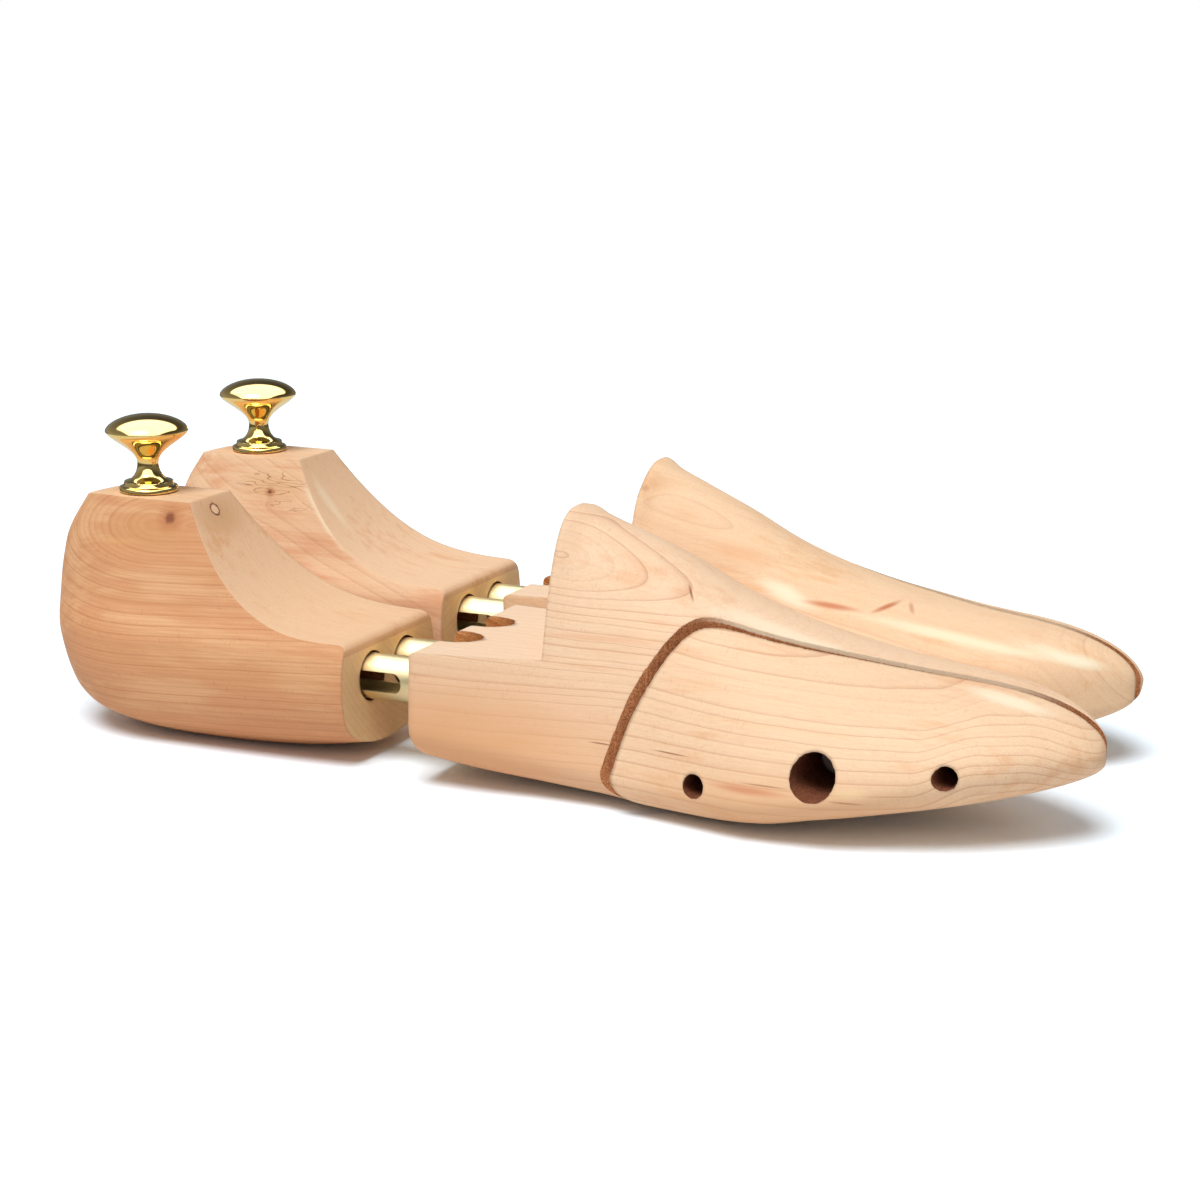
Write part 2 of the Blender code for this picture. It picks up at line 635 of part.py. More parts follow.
def fore_ring(share, inset=0.0):
    """One upright cross section of the forepart, at a share of its length."""
    lateral, medial, low, waist, high, lean, square, crest, sag = fore_section(share)
    edge = 1.0 - 0.5 * min(max((square - 3.0) / 4.5, 0.0), 1.0) ** 1.5
    half = (lateral + medial) / 2.0 - inset
    middle = (medial - lateral) / 2.0
    low += inset
    x = FORE_REAR + share * FORE_LENGTH
    right_side = []
    upper = 9
    for k in range(upper + 1):
        angle = math.radians(90.0) * (k / upper) ** 1.5
        up = math.sin(angle) ** (2.0 / square)
        out = max(math.cos(angle), 0.0) ** edge * (1.0 - lean * up)
        right_side.append((out * half, waist + (high - waist) * up, crest * up**1.5))
    lower = 6
    under = []
    for k in range(1, lower + 1):
        angle = math.radians(90.0) * k / lower
        down = math.sin(angle) ** 0.8
        out = max(math.cos(angle), 0.0) ** 0.8
        under.append((out * half, waist + (low - waist) * down, 0.0))
    points = [(x, middle + aside + out, z) for out, z, aside in reversed(under)]
    points += [(x, middle + aside + out, z) for out, z, aside in right_side]
    points += [(x, middle + aside - out, z) for out, z, aside in reversed(right_side[:-1])]
    points += [(x, middle + aside - out, z) for out, z, aside in under[:-1]]
    return [(x, y, z - sag_at(y, z, half, middle, waist, high) * sag) for x, y, z in points]


def sag_at(y, z, half, middle, waist, high):
    """How much of the inner side's sag a point takes: none outside, all of it inside and low."""
    across = 0.5 + 0.5 * max(min((y - middle) / half, 1.0), -1.0)
    above = max(z - waist, 0.0) / (high - waist)
    return across * (1.0 - above)


def fore_side_outline():
    """Side view of the forepart: floor, rear face, block top, step wall and rounded peak."""
    top = RIDGE_HEIGHT + CUT_PAST
    ahead = FORE_TOE + CUT_PAST
    points = [(ahead, 0.0), (ahead, top)]
    run = 2.0 * PEAK_RADIUS
    ridge = fore_section((STEP_AT - FORE_REAR) / FORE_LENGTH)[4]
    later = fore_section((STEP_AT + run - FORE_REAR) / FORE_LENGTH)[4]
    tilt = math.atan((ridge - later) / run)
    drop = PEAK_RADIUS * (1.0 + math.sin(tilt)) / math.cos(tilt)
    centre = (STEP_AT + PEAK_RADIUS, ridge - drop)
    turn = math.radians(90.0) + tilt
    reach = centre[0] + PEAK_RADIUS * math.sin(tilt)
    points.append((reach, top))
    steps = 6
    for k in range(steps + 1):
        angle = math.radians(90.0) - tilt + turn * k / steps
        points.append((centre[0] + PEAK_RADIUS * math.cos(angle),
                       centre[1] + PEAK_RADIUS * math.sin(angle)))
    points.append((STEP_AT, BLOCK_HEIGHT))
    steps = 3
    for k in range(steps + 1):
        angle = math.radians(90.0) * (1.0 + k / steps)
        points.append((FORE_REAR + BLOCK_CORNER + BLOCK_CORNER * math.cos(angle),
                       BLOCK_HEIGHT - BLOCK_CORNER + BLOCK_CORNER * math.sin(angle)))
    points.append((FORE_REAR, 0.0))
    return points


def kerf_outline(offset, ahead):
    """Plan of everything outside a face of the saw cut, moved out and ahead of the inner face."""
    outside = 2.0 * BALL_LATERAL
    shares = []
    for (low, _), (high, _) in zip(KERF_ROUTE[:-1], KERF_ROUTE[1:]):
        steps = 2 if high - low < 0.1 else 3
        shares += [low + (high - low) * k / steps for k in range(steps)]
    shares.append(KERF_ROUTE[-1][0])
    points = []
    for share in shares:
        x = FORE_REAR + share * FORE_LENGTH
        points.append((x + ahead, -Tree.kerf_at(x) - offset))
    points.append((points[-1][0], -outside))
    points.append((points[0][0], -outside))
    return points


def tube_room(y):
    """Room for a tube at rest, tilted, and between: round-ended slots along the bore."""
    rings = []
    play = math.tan(TILT_LIMIT + TILT_SPARE)
    rear = FORE_REAR - CUT_PAST
    front = TUBE_FRONT + TUBE_END_PLAY
    for x in (rear, PIVOT_AT, front):
        shift = (PIVOT_AT - x) * play
        low = min(shift, 0.0)
        high = max(shift, 0.0)
        ring = []
        steps = 12
        for k in range(steps):
            angle = math.pi * (k + 0.5) / steps
            ring.append((x, y + BORE_RADIUS * math.cos(angle),
                         TUBE_HEIGHT + high + BORE_RADIUS * math.sin(angle)))
        for k in range(steps):
            angle = math.pi * (1.0 + (k + 0.5) / steps)
            ring.append((x, y + BORE_RADIUS * math.cos(angle),
                         TUBE_HEIGHT + low + BORE_RADIUS * math.sin(angle)))
        rings.append(ring)
    return ring_loft(rings)


def build_forepart(tree):
    def loft():
        rear = [fore_ring(0.0, BLOCK_CORNER * 0.8), fore_ring(0.006, BLOCK_CORNER * 0.25),
                fore_ring(BLOCK_CORNER / FORE_LENGTH)]
        return ring_loft(rear + [fore_ring(share) for share in FORE_STATIONS])

    fore = tree.add("forepart", loft(), tree.base, look="cedar", smooth=35)
    side = tree.add("toe_side_piece", loft(), tree.spread, look="cedar", smooth=35)
    outline = upright(outline_solid(fore_side_outline(), 4.0 * BALL_LATERAL))
    profile = tree.add("fore_outline", outline, tree.base, cutter=True)
    outside = outline_solid(kerf_outline(0.0, 0.0), 4.0 * RIDGE_HEIGHT)
    outer_room = tree.add("outer_room", outside, tree.base, cutter=True)
    slab = block((FORE_REAR, -2.0 * BALL_LATERAL, -CUT_PAST),
                 (FORE_TOE + CUT_PAST, 2.0 * BALL_LATERAL, 0.0))
    floor_cut = tree.add("floor_cut", slab, tree.spread, cutter=True)
    side_plan = outline_solid(kerf_outline(KERF, KERF_SWING), 4.0 * RIDGE_HEIGHT)
    side_room = tree.add("side_room", side_plan, tree.spread, cutter=True)
    tree.combine(fore, profile, "INTERSECT")
    tree.combine(fore, outer_room, "DIFFERENCE")
    tree.combine(side, side_room, "INTERSECT")
    tree.combine(side, floor_cut, "DIFFERENCE")
    for name, y in TUBE_SIDES:
        cutter = tree.add("tube_room_" + name, tube_room(y), tree.base, cutter=True)
        tree.combine(fore, cutter, "DIFFERENCE")

    pin_end = TUBE_SPACING / 2.0 + TUBE_RADIUS + CROSS_PIN_REACH
    share = PIVOT_SETBACK / FORE_LENGTH
    medial = fore_section(share)[1]
    hole = rod(PIVOT_RADIUS + WOOD_FIT, (PIVOT_AT, -pin_end - WOOD_FIT, TUBE_HEIGHT),
               (PIVOT_AT, medial + CUT_PAST, TUBE_HEIGHT), 20)
    tree.combine(fore, tree.add("pivot_hole", hole, tree.base, cutter=True), "DIFFERENCE")
    outer = fore_medial_at(share, TUBE_HEIGHT) - PIN_RECESS
    pin = rod(PIVOT_RADIUS, (PIVOT_AT, -pin_end, TUBE_HEIGHT), (PIVOT_AT, outer, TUBE_HEIGHT), 24)
    tree.add("pivot_pin", pin, tree.base, look="steel", smooth=35)
    build_guides(tree, fore, side)
    tree.spread.location.y -= tree.hand * SPREAD


def fore_medial_at(share, z):
    """Distance of the forepart's inner wall from the middle plane at a height above its waist."""
    lateral, medial, _, waist, high, lean, square, crest, _ = fore_section(share)
    up = (z - waist) / (high - waist)
    out = (1.0 - lean * up) * (1.0 - up**square) ** 0.4
    return (medial - lateral) / 2.0 + crest * up**1.5 + (medial + lateral) / 2.0 * out


def build_guides(tree, fore, side):
    """Guide pins, bolt and spring across the saw cut, with their holes."""
    beyond = BALL_LATERAL + CUT_PAST
    guides = (("rear", REAR_GUIDE_AT, REAR_GUIDE_HEIGHT),
              ("front", FRONT_GUIDE_AT, FRONT_GUIDE_HEIGHT))
    for name, x, z in guides:
        face = -Tree.kerf_at(x)
        hole = rod(GUIDE_HOLE_RADIUS, (x, -beyond, z), (x, face + CUT_PAST, z), 20)
        cutter = tree.add("guide_hole_" + name, hole, tree.spread, cutter=True)
        tree.combine(side, cutter, "DIFFERENCE")
        inner = face + GUIDE_PIN_IN_MAIN
        socket = rod(GUIDE_PIN_RADIUS + WOOD_FIT, (x, face - CUT_PAST, z),
                     (x, inner + WOOD_FIT, z), 16)
        cutter = tree.add("guide_socket_" + name, socket, tree.base, cutter=True)
        tree.combine(fore, cutter, "DIFFERENCE")
        outer = face - KERF - SPREAD - GUIDE_PIN_IN_SIDE
        pin = rod(GUIDE_PIN_RADIUS, (x, outer, z), (x, inner, z), 16)
        tree.add("guide_pin_" + name, pin, tree.base, look="steel", smooth=35)

    face = -Tree.kerf_at(BOLT_AT)
    seat = face - KERF - BOLT_SEAT_WALL
    x = BOLT_AT
    z = BOLT_HEIGHT
    counterbore = rod(COUNTERBORE_RADIUS, (x, -beyond, z), (x, seat, z), 28)
    cutter = tree.add("counterbore", counterbore, tree.spread, cutter=True)
    tree.combine(side, cutter, "DIFFERENCE")
    passage = rod(BOLT_RADIUS + BOLT_PLAY, (x, seat - CUT_PAST, z), (x, face + CUT_PAST, z), 16)
    cutter = tree.add("bolt_passage", passage, tree.spread, cutter=True)
    tree.combine(side, cutter, "DIFFERENCE")
    inner = face + BOLT_IN_MAIN
    socket = rod(BOLT_RADIUS + WOOD_FIT, (x, face - CUT_PAST, z), (x, inner + WOOD_FIT, z), 16)
    tree.combine(fore, tree.add("bolt_socket", socket, tree.base, cutter=True), "DIFFERENCE")
    pocket_end = face + SPREAD_POCKET_DEPTH
    pocket = rod(SPREAD_POCKET_RADIUS, (x, face - CUT_PAST, z), (x, pocket_end, z), 20)
    tree.combine(fore, tree.add("spring_pocket", pocket, tree.base, cutter=True), "DIFFERENCE")
    spring_seat = face - KERF - SPREAD_SEAT_DEPTH
    recess = rod(SPREAD_POCKET_RADIUS, (x, spring_seat, z), (x, face + CUT_PAST, z), 20)
    tree.combine(side, tree.add("spring_seat", recess, tree.spread, cutter=True), "DIFFERENCE")

    head_inner = seat - SPREAD - SEAT_GAP
    head_outer = head_inner - BOLT_HEAD_HEIGHT
    bore = BOLT_SOCKET_RADIUS
    floor = head_outer + BOLT_SOCKET_DEPTH
    profile = [(0.0, floor), (bore, floor), (bore, head_outer), (BOLT_HEAD_RADIUS, head_outer),
               (BOLT_HEAD_RADIUS, head_inner), (BOLT_RADIUS, head_inner), (BOLT_RADIUS, inner),
               (0.0, inner)]
    bolt = turned(list(reversed(profile)), 18)
    bmesh.ops.transform(bolt, matrix=Matrix.Rotation(math.radians(-90), 4, "X"), verts=bolt.verts)
    bmesh.ops.translate(bolt, vec=(x, 0, z), verts=bolt.verts)
    tree.add("spread_bolt", bolt, tree.base, look="steel", smooth=35)

    length = pocket_end - spring_seat + SPREAD - 2.0 * SEAT_GAP
    spring = coil(SPREAD_SPRING_RADIUS, SPREAD_SPRING_WIRE, (0, 0, 0), length,
                  SPREAD_SPRING_CURLS)
    turn = Matrix.Rotation(math.radians(-90), 4, "Z")
    bmesh.ops.transform(spring, matrix=turn, verts=spring.verts)
    bmesh.ops.translate(spring, vec=(x, pocket_end - SEAT_GAP, z), verts=spring.verts)
    tree.add("spread_spring", spring, tree.base, look="steel", smooth=60)


def build_pair():
    clear_scene()
    parts = make_collection("shoe_tree_pair")
    cutters = make_collection("cutters")
    looks = {
        "cedar": make_material("cedar", CEDAR, 0.62, 0.0),
        "brass": make_material("pale_brass", PALE_BRASS, 0.3, 1.0),
        "gold": make_material("gold_brass", GOLD_BRASS, 0.12, 1.0),
        "steel": make_material("steel", STEEL, 0.35, 1.0),
    }
    for side, hand in (("right", 1), ("left", -1)):
        tree = Tree(side, hand, parts, cutters, looks)
        build_heel(tree)
        build_knob(tree)
        build_tubes(tree)
        build_forepart(tree)
    bpy.context.view_layer.update()


build_pair()
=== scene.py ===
"""Looks for a pair of cedar shoe trees with brass knobs and slotted brass tubes.

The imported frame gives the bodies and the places. Each wooden piece is lofted again here from
the same sizes as the solids, finely and with its cut faces apart, so that the turned, sawn,
torn and drilled surfaces can each have their own finish.

A tree's own frame has x from the knob's axis towards the toe, y from its middle plane towards
the inner side of the foot, and z up from the floor. Sizes are in metres; the figure of the
wood is set out in millimetres in that frame.
"""

import logging
import math
from dataclasses import dataclass
from enum import Enum, IntEnum

import bmesh
import bpy
import numpy as np
from mathutils import Matrix, Vector


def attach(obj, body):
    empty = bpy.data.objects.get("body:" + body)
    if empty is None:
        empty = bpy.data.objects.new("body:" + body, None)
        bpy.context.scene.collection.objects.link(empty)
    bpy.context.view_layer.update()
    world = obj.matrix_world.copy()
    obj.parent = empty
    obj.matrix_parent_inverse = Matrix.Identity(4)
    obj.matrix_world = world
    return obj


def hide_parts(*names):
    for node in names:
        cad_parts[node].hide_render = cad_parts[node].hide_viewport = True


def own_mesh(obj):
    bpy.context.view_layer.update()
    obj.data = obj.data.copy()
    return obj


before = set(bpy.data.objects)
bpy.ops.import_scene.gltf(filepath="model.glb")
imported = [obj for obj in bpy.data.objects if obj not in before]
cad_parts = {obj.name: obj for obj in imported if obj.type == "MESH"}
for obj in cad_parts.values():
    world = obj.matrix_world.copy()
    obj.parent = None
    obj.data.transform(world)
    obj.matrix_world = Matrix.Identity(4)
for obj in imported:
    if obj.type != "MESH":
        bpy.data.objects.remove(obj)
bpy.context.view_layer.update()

MM = 0.001
log = logging.getLogger("shoe_trees")

Triple = tuple[float, float, float]
Rows = tuple[tuple[float, ...], ...]
Outline = list[tuple[float, float]]
Step = tuple[str, bmesh.types.BMesh]

ORIGIN: Triple = (0.0, 0.0, 0.0)
BEYOND = 5.0 * MM


def srgb(red: int, green: int, blue: int) -> Triple:
    """Turn a colour as the eye names it, 0 to 255, into linear light."""
    def channel(value: int) -> float:
        share = value / 255.0
        return share / 12.92 if share <= 0.04045 else ((share + 0.055) / 1.055) ** 2.4
    return channel(red), channel(green), channel(blue)


class Side(Enum):
    """Which foot a tree is for."""

    RIGHT = "right"
    LEFT = "left"

    @property
    def hand(self) -> int:
        """1 where the inner side faces +Y, and -1 where it faces -Y."""
        return 1 if self is Side.RIGHT else -1


class Face(IntEnum):
    """Material slots of a wooden piece, by how the surface was made."""

    SHAPED = 0
    TOP = 1
    END = 2
    SAWN = 3
    TORN = 4
    DRILLED = 5


# Shader building


@dataclass(frozen=True, eq=False)
class Signal:
    """A socket that carries a number, and adds Math nodes when used in an expression."""

    plan: "Plan"
    socket: bpy.types.NodeSocket

    def __add__(self, other: "Signal | float") -> "Signal":
        """Sum."""
        return self.plan.math("ADD", self, other)

    __radd__ = __add__

    def __sub__(self, other: "Signal | float") -> "Signal":
        """Difference."""
        return self.plan.math("SUBTRACT", self, other)

    def __rsub__(self, other: float) -> "Signal":
        """Difference from a number."""
        return self.plan.math("SUBTRACT", other, self)

    def __mul__(self, other: "Signal | float") -> "Signal":
        """Product."""
        return self.plan.math("MULTIPLY", self, other)

    __rmul__ = __mul__

    def __truediv__(self, other: "Signal | float") -> "Signal":
        """Quotient."""
        return self.plan.math("DIVIDE", self, other)

    def __pow__(self, other: "Signal | float") -> "Signal":
        """Power."""
        return self.plan.math("POWER", self, other)


Value = Signal | bpy.types.NodeSocket | float | tuple


class Plan:
    """The node tree of one material or world, with short ways to add to it."""

    def __init__(self, owner: bpy.types.Material | bpy.types.World) -> None:
        """Empty the owner's node tree.

        Args:
            owner: The material or world to plan.
        """
        self.owner = owner
        owner.use_nodes = True
        self.tree = owner.node_tree
        self.tree.nodes.clear()

    def node(self, kind: str, settings: dict | None = None,
             inputs: dict | None = None) -> bpy.types.Node:
        """Add a node.

        Args:
            kind: The node's type name.
            settings: Properties to set first; "stops" sets a ramp's positions and colours.
            inputs: Values or links for its sockets, by name or number.

        Returns:
            The new node.
        """
        made = self.tree.nodes.new(kind)
        for key, value in (settings or {}).items():
            if key == "stops":
                self.set_stops(made.color_ramp, value)
            else:
                setattr(made, key, value)
        for key, value in (inputs or {}).items():
            self.feed(made.inputs[key], value)
        return made

    @staticmethod
    def set_stops(ramp: bpy.types.ColorRamp, stops: list[tuple[float, Triple]]) -> None:
        """Give a ramp its stops, as pairs of place and colour."""
        while len(ramp.elements) < len(stops):
            ramp.elements.new(1.0)
        for element, (place, colour) in zip(ramp.elements, stops):
            element.position = place
            element.color = (*colour, 1.0)

    def feed(self, socket: bpy.types.NodeSocket, value: Value) -> None:
        """Link a socket, or set its value."""
        if isinstance(value, Signal):
            self.tree.links.new(value.socket, socket)
        elif isinstance(value, bpy.types.NodeSocket):
            self.tree.links.new(value, socket)
        elif isinstance(value, tuple) and socket.type == "RGBA" and len(value) == 3:
            socket.default_value = (*value, 1.0)
        else:
            socket.default_value = value

    def math(self, operation: str, *values: Value, clamp: bool = False) -> Signal:
        """Add a Math node and give its result."""
        made = self.node("ShaderNodeMath", {"operation": operation, "use_clamp": clamp},
                         dict(enumerate(values)))
        return Signal(self, made.outputs[0])

    def vector(self, operation: str, *values: Value) -> bpy.types.NodeSocket:
        """Add a Vector Math node and give its vector."""
        made = self.node("ShaderNodeVectorMath", {"operation": operation},
                         dict(enumerate(values)))
        return made.outputs["Vector"]

    def length(self, vector: Value) -> Signal:
        """Length of a vector."""
        made = self.node("ShaderNodeVectorMath", {"operation": "LENGTH"}, {0: vector})
        return Signal(self, made.outputs["Value"])

    def axes(self, vector: Value) -> tuple[Signal, Signal, Signal]:
        """The three numbers of a vector."""
        made = self.node("ShaderNodeSeparateXYZ", None, {0: vector})
        return tuple(Signal(self, socket) for socket in made.outputs)

    def placed(self, vector: Value, at: Triple, reach: Triple,
               turn: Triple = ORIGIN) -> bpy.types.NodeSocket:
        """Coordinates measured from a place, in units of a reach along turned axes."""
        turned = tuple(math.radians(angle) for angle in turn)
        made = self.node("ShaderNodeMapping", {"vector_type": "TEXTURE"},
                         {"Vector": vector, "Location": at, "Rotation": turned, "Scale": reach})
        return made.outputs[0]

    def millimetres(self, base: Triple = ORIGIN, hand: int = 1) -> bpy.types.NodeSocket:
        """Object coordinates in a tree's own frame, in millimetres."""
        place = self.node("ShaderNodeTexCoord").outputs["Object"]
        local = self.vector("SUBTRACT", place, base)
        return self.vector("MULTIPLY", local, (1000.0, 1000.0 * hand, 1000.0))

    def noise(self, vector: Value, detail: float = 2.0, roughness: float = 0.5) -> Signal:
        """Smooth noise of unit size, 0 to 1."""
        made = self.node("ShaderNodeTexNoise", {"noise_dimensions": "3D"},
                         {"Vector": vector, "Scale": 1.0, "Detail": detail,
                          "Roughness": roughness})
        return Signal(self, made.outputs["Fac"])

    def noise_line(self, value: Value, detail: float = 1.0) -> Signal:
        """Smooth noise along a number, 0 to 1."""
        made = self.node("ShaderNodeTexNoise", {"noise_dimensions": "1D"},
                         {"W": value, "Scale": 1.0, "Detail": detail})
        return Signal(self, made.outputs["Fac"])

    def noise_vector(self, vector: Value) -> bpy.types.NodeSocket:
        """Smooth noise of unit size in three directions, about zero."""
        made = self.node("ShaderNodeTexNoise", {"noise_dimensions": "3D"},
                         {"Vector": vector, "Scale": 1.0, "Detail": 1.0})
        return self.vector("SUBTRACT", made.outputs["Color"], (0.5, 0.5, 0.5))

    def between(self, value: Value, low: float, high: float) -> Signal:
        """0 below low, 1 above high, and a smooth step between; low may be the higher."""
        made = self.node("ShaderNodeMapRange", {"interpolation_type": "SMOOTHSTEP"},
                         {"Value": value, "From Min": low, "From Max": high})
        return Signal(self, made.outputs["Result"])

    def mix(self, share: Value, first: Value, second: Value) -> bpy.types.NodeSocket:
        """Mix two colours."""
        made = self.node("ShaderNodeMix", {"data_type": "RGBA"},
                         {"Factor": share, 6: first, 7: second})
        return made.outputs[2]

    def choice(self, share: Value, first: Value, second: Value) -> bpy.types.NodeSocket:
        """Mix two surfaces."""
        made = self.node("ShaderNodeMixShader", None, {0: share, 1: first, 2: second})
        return made.outputs[0]

    def bump(self, height: Value, depth: float, normal: Value | None = None
             ) -> bpy.types.NodeSocket:
        """Relief of a height field, 0 to 1, that is depth metres deep."""
        inputs = {"Height": height, "Distance": depth}
        if normal is not None:
            inputs["Normal"] = normal
        return self.node("ShaderNodeBump", None, inputs).outputs[0]

    def rounded(self, radius: float) -> bpy.types.NodeSocket:
        """The surface normal with its edges softened over a radius."""
        return self.node("ShaderNodeBevel", {"samples": 4}, {"Radius": radius}).outputs[0]

    def finish(self, **inputs: Value) -> bpy.types.Material:
        """Close the material with a Principled surface.

        Args:
            **inputs: Socket values or links, with underscores for the spaces in their names.

        Returns:
            The finished material.
        """
        named = {key.replace("_", " "): value for key, value in inputs.items()}
        shader = self.node("ShaderNodeBsdfPrincipled", None, named)
        self.node("ShaderNodeOutputMaterial", None, {"Surface": shader.outputs[0]})
        return self.owner


# Wood


@dataclass(frozen=True)
class Knot:
    """A place where the growth layers swell round a branch.

    The layers move by pull millimetres. A core of the given radius shows: dark, or pale inside a
    thin dark broken ring.
    """

    at: Triple
    reach: Triple
    pull: float
    core: float = 0.0
    pale: bool = False


@dataclass(frozen=True)
class Mark:
    """A soft-edged patch or streak of another colour, in a turned ellipsoid."""

    at: Triple
    reach: Triple
    colour: Triple
    strength: float
    turn: Triple = ORIGIN
    ragged: float = 0.35
    edge: float = 0.15


@dataclass(frozen=True)
class Burl:
    """A patch of thin dark lines that wander like a map's contours."""

    at: Triple
    reach: Triple
    grain: Triple
    strength: float = 0.8


@dataclass(frozen=True)
class Shift:
    """A rise of the growth layers, in millimetres, across a band of the length."""

    start: float
    end: float
    rise: float


@dataclass(frozen=True)
class CedarTones:
    """Colours of the wood, in linear light."""

    pale: Triple = srgb(250, 216, 178)
    warm: Triple = srgb(240, 194, 150)
    line: Triple = srgb(186, 112, 66)
    end: Triple = srgb(205, 150, 98)
    core: Triple = srgb(112, 52, 34)
    eye: Triple = srgb(150, 84, 48)


@dataclass(frozen=True)
class CedarFigure:
    """Where the growth layers of one piece lie, in the tree's millimetres.

    The layers are shells about a centre line that runs along the piece. They are spacing
    apart, squeezed across by the share across, and closed behind or ahead of the centre where
    rear_close or front_close is set, over close_run millimetres. They climb towards the toe
    above the height climb_above, and run level below the height level_below. Their lines
    fade along the piece from fade_start to fade_end.
    """

    centre: Triple = (0.0, 0.0, 60.0)
    climb: float = 0.0
    level_below: float = -20.0
    climb_above: float = -10.0
    drift: float = 0.0
    across: float = 0.35
    spacing: float = 2.2
    offset: float = 0.0
    rear_close: float = 0.0
    front_close: float = 0.0
    close_run: float = 60.0
    soft_turn: float = 8.0
    waver: float = 1.2
    uneven: float = 1.4
    line_strength: float = 0.4
    fine_strength: float = 0.12
    warm_share: float = 0.5
    fleck_strength: float = 0.12
    fade_start: float = 900.0
    fade_end: float = 1000.0
    seed: float = 0.0
    tones: CedarTones = CedarTones()
    knots: tuple[Knot, ...] = ()
    marks: tuple[Mark, ...] = ()
    burls: tuple[Burl, ...] = ()
    shifts: tuple[Shift, ...] = ()


@dataclass(frozen=True)
class Cedar:
    """Sanded cedar of one piece, on one kind of surface."""

    name: str
    figure: CedarFigure
    base: Triple
    hand: int
    roughness: float = 0.6
    relief: float = 0.00004
    edge: float = 0.0014

    def start(self, salt: float = 1.0) -> Triple:
        """Where a noise begins, so that no two pieces show the same."""
        seed = self.figure.seed * salt
        return seed, seed * 0.7, -seed

    def field(self, plan: Plan, place: Value, reach: Triple, detail: float = 2.0,
              roughness: float = 0.5, salt: float = 1.0) -> Signal:
        """Noise whose grain has a reach in millimetres along each axis."""
        spot = plan.vector("ADD", plan.placed(place, ORIGIN, reach), self.start(salt))
        return plan.noise(spot, detail, roughness)

    def layers(self, plan: Plan, place: Value) -> Signal:
        """Distance through the growth layers, in millimetres.

        Args:
            plan: The material being built.
            place: Tree coordinates in millimetres.

        Returns:
            The distance from the centre line, bent by knots, shifts and slow noise.
        """
        figure = self.figure
        moved = place
        for reach, push in (((60.0, 24.0, 24.0), figure.waver * 2.0), ((9.0, 2.4, 2.4), 0.26)):
            spot = plan.vector("ADD", plan.placed(place, ORIGIN, reach), self.start())
            moved = plan.vector("ADD", moved, plan.vector(
                "MULTIPLY", plan.noise_vector(spot), (0.0, push, push)))
        x, y, z = plan.axes(moved)
        u = x - figure.centre[0]
        climb = plan.between(z, figure.level_below, figure.climb_above) * figure.climb
        height = z - figure.centre[2] - u * climb
        for shift in figure.shifts:
            height = height - plan.between(x, shift.start, shift.end) * shift.rise
        aside = (y - figure.centre[1] - u * figure.drift) * figure.across
        squares = height * height + aside * aside
        bow = (u * u + figure.soft_turn**2) ** 0.5
        for close, sign in ((figure.rear_close, -1.0), (figure.front_close, 1.0)):
            if close > 0.0:
                run = (bow + u * sign - figure.soft_turn) * 0.5
                run = run / (1.0 + plan.math("MAXIMUM", run, 0.0) / figure.close_run)
                squares = squares + run * run * close**2
        distance = squares**0.5
        for knot in figure.knots:
            near = plan.length(plan.placed(place, knot.at, knot.reach))
            distance = distance + plan.math("EXPONENT", near * near * -1.0) * knot.pull
        drift = plan.noise_line(distance * 0.22 + figure.seed) - 0.5
        return distance + drift * figure.uneven

    def add_marks(self, plan: Plan, place: Value, colour: Value, rough: Signal) -> Value:
        """Lay patches, streaks and burls over the colour.

        Args:
            plan: The material being built.
            place: Tree coordinates in millimetres.
            colour: Colour so far.
            rough: Noise that frays the edges, about 0.

        Returns:
            The colour with the marks on it.
        """
        for mark in self.figure.marks:
            spot = plan.placed(place, mark.at, mark.reach, mark.turn)
            frayed = plan.length(spot) + rough * mark.ragged
            share = plan.between(frayed, 1.0, mark.edge) * mark.strength
            colour = plan.mix(share, colour, mark.colour)
        for index, burl in enumerate(self.figure.burls):
            spot = plan.length(plan.placed(place, burl.at, burl.reach))
            level = self.field(plan, place, burl.grain, 0.6, 0.4, 2.3 + index) - 0.5
            line = plan.between(plan.math("ABSOLUTE", level), 0.03, 0.002)
            share = line * plan.between(spot + rough * 0.4, 1.0, 0.6) * burl.strength
            colour = plan.mix(share, colour, self.figure.tones.eye)
        return colour

    def add_knots(self, plan: Plan, place: Value, colour: Value) -> Value:
        """Paint the cores of the knots over the colour."""
        tones = self.figure.tones
        for knot in self.figure.knots:
            if knot.core <= 0.0:
                continue
            size = (knot.core,) * 3
            rays = plan.noise(plan.placed(place, knot.at, (0.6, 0.6, 0.6)), 3.0, 0.7) - 0.5
            spot = plan.length(plan.placed(place, knot.at, size)) + rays * 0.9
            if knot.pale:
                colour = plan.mix(plan.between(spot, 1.05, 0.85), colour, tones.pale)
                ring = plan.between(spot, 1.3, 1.05) * plan.between(spot, 0.72, 0.92)
                colour = plan.mix(ring * 0.92, colour, tones.core)
                ring = plan.between(spot, 2.4, 1.2) * plan.between(rays, 0.1, 0.2)
                colour = plan.mix(ring * 0.7, colour, tones.core)
                continue
            colour = plan.mix(plan.between(spot, 3.0, 0.8) * 0.5, colour, tones.line)
            colour = plan.mix(plan.between(spot, 1.2, 0.4) * 0.75, colour, tones.core)
        return colour

